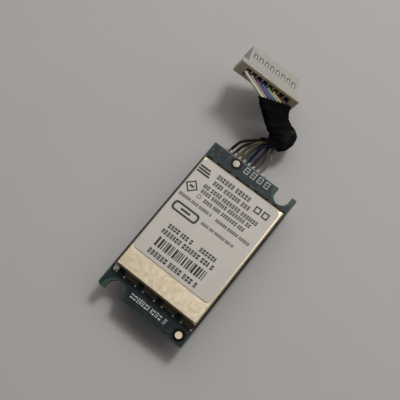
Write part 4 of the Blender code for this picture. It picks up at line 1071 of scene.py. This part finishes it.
class MODULE_OT_dress_label(DressOperator, bpy.types.Operator):
    """Paper of the label, and its plain printed marks"""

    bl_idname = "module.dress_label"
    bl_label = "Dress Label"

    def execute(self, context):
        looks = self.looks.label
        graph = Finish("paper_finish")
        axes = graph.axes()
        rims = (graph.smaller(graph.minus(axes[k], label_low[k]), graph.minus(label_high[k], axes[k]))
                for k in (0, 1))
        fray = graph.times(graph.noise(3000.0), 0.16 * MM)
        # Darker rim: partly worn paper, partly painted shade along the label's edge
        worn_and_shaded_rim = graph.reach(graph.plus(graph.smaller(*rims), fray), LABEL_RIM, 0.55, 0.0)
        fibre = graph.group("fine_grain", scale=7000.0, broad_scale=500.0, broad_share=1.0)
        paper = graph.drift(looks.paper_colour, scaled(looks.paper_colour, 0.93), 260.0, 0.8)
        graph.shade(graph.blend(worn_and_shaded_rim, paper, scaled(looks.paper_colour, 0.55)),
                    graph.tone(fibre["Tone"], 0.5, 0.62), fibre["Height"], 0.004 * MM)
        dress(graph, "product_label")

        ink = moulded_finish("ink_finish", looks.ink_colour, scaled(looks.ink_colour, 1.9), (0.45, 0.6),
                             depth=0.002 * MM, share=0.7)
        low, high = label_high.z - looks.ink_height / 2, label_high.z + looks.ink_height
        shape = bmesh.new()
        for seed, row in enumerate(LABEL_ROWS):
            add_marks(shape, row, low, high, seed)
        add_bar_code(shape, low, high)
        add_emblems(shape, low, high)
        new_piece("label_print", shape, ink)
        return {"FINISHED"}


class MODULE_OT_dress_small_parts(DressOperator, bpy.types.Operator):
    """Chips, pins, contacts, anchors, header and plugs"""

    bl_idname = "module.dress_small_parts"
    bl_label = "Dress Small Parts"

    def execute(self, context):
        lead, tin = self.looks.lead, self.looks.can.tin_colour
        dress(moulded_finish("package_finish", *PACKAGE_COLOURS, (0.42, 0.6)),
              "radio_chip", "memory_chip", "voltage_regulator")
        dress(tin_finish("crystal_finish", tin, scaled(tin, 0.7), (0.2, 0.35)), "crystal")
        dress(moulded_finish("pale_ceramic_finish", *CERAMIC_COLOURS, (0.35, 0.5)), "band_filter")
        for name, body, nodes in CAPPED_CHIPS:
            for node in nodes:
                dress(capped_finish(f"{name}_{node}", body, tin, node), node)
        kinds = ("header_pin", "module_contact", "laptop_contact")
        dress(tin_finish("pin_finish", tin, scaled(tin, 0.75), (0.18, 0.32), scale=2600.0),
              "header_anchor_left", "header_anchor_right",
              *(f"{kind}_{way}" for kind in kinds for way in range(1, WAYS + 1)))
        dress(plug_finish(lead.nylon_colour, lead.glow_colour), "module_plug", "laptop_plug")
        dress(moulded_finish("header_finish", lead.header_colour, scaled(lead.header_colour, 0.85),
                             (0.4, 0.55), soft=0.15), "board_header")
        return {"FINISHED"}


class MODULE_OT_make_wires(DressOperator, bpy.types.Operator):
    """The eight insulated wires of the lead"""

    bl_idname = "module.make_wires"
    bl_label = "Make Wires"

    def execute(self, context):
        diameter = self.looks.lead.wire_diameter
        for way, (name, rise) in enumerate(WIRE_ROUTES):
            curve = bpy.data.curves.new(f"lead_wire_{name}", "CURVE")
            curve.dimensions = "3D"
            curve.bevel_depth = diameter / 2
            curve.bevel_resolution = 5
            curve.use_fill_caps = True
            places = wire_route(way, rise, diameter)
            spline = curve.splines.new("POLY")
            spline.points.add(len(places) - 1)
            for point, place in zip(spline.points, places):
                point.co = (*place, 1.0)
            spline.use_smooth = True
            finish = insulation_finish(f"wire_{name}_finish", *WIRE_COLOURS[name])
            curve.materials.append(finish.material)
            wire = add_object(f"lead_wire_{name}", curve)
            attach(wire, "root")
            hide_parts(f"wire_{name}")
        return {"FINISHED"}


class MODULE_OT_wind_tape(DressOperator, bpy.types.Operator):
    """Cloth tape wound round the wires, with its turns, folds and weave"""

    bl_idname = "module.wind_tape"
    bl_label = "Wind Tape"

    def execute(self, context):
        looks = self.looks.lead
        sections = wrap_sections(TAPE_STEPS)
        length = sections[-1][5]
        turns = [math.tau * k / TAPE_POINTS for k in range(TAPE_POINTS)]
        outer = [[tape_point(section, turn, tape_rise(section[5], turn, length, looks))
                  for turn in turns] for section in sections]
        inner = [[tape_point(section, turn, -WRAP_WALL) for turn in turns]
                 for section in reversed(sections)]
        shape = bmesh.new()
        skin(shape, outer + inner, closed=True)
        finish = cloth_finish(looks.tape_colour)
        tape = new_piece("cloth_tape_winding", shape, finish, smooth=True)
        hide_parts("tape_wrap")
        return {"FINISHED"}


class MODULE_OT_make_pad(DressOperator, bpy.types.Operator):
    """The foam spacer pad under the bare end of the board"""

    bl_idname = "module.make_pad"
    bl_label = "Make Pad"

    def execute(self, context):
        half, centre = (pad_high - pad_low) / 2, (pad_high + pad_low) / 2
        loops = []
        for share, draw in PAD_LEVELS:
            x, y = half.x - draw * PAD_DRAW, half.y - draw * PAD_DRAW
            loops.append([(centre.x + cx * x, centre.y + cy * y, pad_low.z + share * 2 * half.z)
                          for cx, cy in rounded_square(PAD_CORNER / x, PAD_CORNER / y)])
        shape = bmesh.new()
        skin(shape, loops)
        graph = Finish("foam_finish")
        values = {"Vector": graph.place, "Scale": 5500.0}
        cells = graph.add("ShaderNodeTexVoronoi", values).outputs["Distance"]
        graph.shade(graph.drift(*FOAM_COLOURS), graph.span(cells, 0.0, 0.6, 1.0, 0.85), cells, 0.05 * MM)
        pad = new_piece("foam_pad", shape, graph)
        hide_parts("spacer_pad")
        return {"FINISHED"}


class MODULE_OT_set_stage(DressOperator, bpy.types.Operator):
    """Floor, soft lamps, room light and the camera"""

    bl_idname = "module.set_stage"
    bl_label = "Set Stage"

    def execute(self, context):
        looks = self.looks.stage
        scene = context.scene
        half = looks.floor_size / 2
        corners = ((-half, -half), (half, -half), (half, half), (-half, half))
        shape = bmesh.new()
        shape.faces.new([shape.verts.new((x, y, -FLOOR_GAP)) for x, y in corners])
        graph = Finish("floor_finish")
        colour = graph.drift(looks.floor_colour, scaled(looks.floor_colour, 0.97), 30.0, 0.6)
        graph.fill(graph.shader, {"Base Color": colour, "Roughness": 0.8, "Specular IOR Level": 0.1})
        clear = graph.add("ShaderNodeBsdfTransparent").outputs[0]
        below = graph.add("ShaderNodeNewGeometry").outputs["Backfacing"]
        values = {0: below, 1: graph.shader.outputs[0], 2: clear}
        sheet = graph.add("ShaderNodeMixShader", values).outputs[0]
        graph.fill(graph.tree.nodes["Material Output"], {"Surface": sheet})
        add_object("floor", to_mesh("floor", shape, graph))

        for name, away, width, height, power in LAMPS:
            lamp = bpy.data.lights.new(name, "AREA")
            lamp.shape = "ELLIPSE"
            lamp.size, lamp.size_y = width, height
            lamp.energy = getattr(looks, power)
            lamp.color = LAMP_TINT
            holder = add_object(name, lamp)
            holder.location = LAMP_TARGET + away
            holder.rotation_euler = (-away).to_track_quat("-Z", "Y").to_euler()
        scene.world = bpy.data.worlds.new("room")
        scene.world.use_nodes = True
        room = Graph(scene.world.node_tree)
        values = {"Color": ROOM_TINT, "Strength": looks.world_strength}
        room.fill(room.tree.nodes["Background"], values)

        right = Vector((math.cos(CAMERA_AZIMUTH), math.sin(CAMERA_AZIMUTH), 0.0))
        flat = Vector((-right.y, right.x, 0.0)) * math.cos(CAMERA_ELEVATION)
        ahead = flat - Vector((0.0, 0.0, math.sin(CAMERA_ELEVATION)))
        turned = Matrix((right, right.cross(ahead), -ahead)).transposed()
        lens = bpy.data.cameras.new("camera")
        lens.lens = looks.lens
        lens.sensor_width = 36.0
        lens.clip_start, lens.clip_end = 0.005, 5.0
        scene.camera = add_object("camera", lens)
        scene.camera.matrix_world = Matrix.Translation(CAMERA_AT) @ turned.to_4x4()
        scene.view_settings.view_transform = "Standard"
        return {"FINISHED"}


# Panel and registration


class MODULE_PT_dresser(bpy.types.Panel):
    """Buttons and settings of the module"""

    bl_idname = "MODULE_PT_dresser"
    bl_label = "Wireless Module"
    bl_space_type = "VIEW_3D"
    bl_region_type = "UI"
    bl_category = "Module"

    def draw(self, context):
        for operator in OPERATORS:
            self.layout.operator(operator.bl_idname)
        for group in ("board", "can", "label", "lead", "stage"):
            box = self.layout.box()
            looks = getattr(context.scene.module_settings, group)
            for name in looks.__annotations__:
                box.prop(looks, name)


OPERATORS = (
    MODULE_OT_make_effects,
    MODULE_OT_set_stage,
    MODULE_OT_make_wires,
    MODULE_OT_wind_tape,
    MODULE_OT_dress_board,
    MODULE_OT_print_board,
    MODULE_OT_dress_can,
    MODULE_OT_dress_label,
    MODULE_OT_dress_small_parts,
    MODULE_OT_make_pad,
)
GROUPS = (BoardLooks, CanLooks, LabelLooks, LeadLooks, StageLooks, ModuleSettings)


def register():
    for item in (*GROUPS, *OPERATORS, MODULE_PT_dresser):
        bpy.utils.register_class(item)
    bpy.types.Scene.module_settings = bpy.props.PointerProperty(type=ModuleSettings)


def unregister():
    del bpy.types.Scene.module_settings
    for item in reversed((*GROUPS, *OPERATORS, MODULE_PT_dresser)):
        bpy.utils.unregister_class(item)


def main():
    register()
    for operator in OPERATORS:
        group, name = operator.bl_idname.split(".")
        getattr(getattr(bpy.ops, group), name)()


if __name__ == "__main__":
    main()
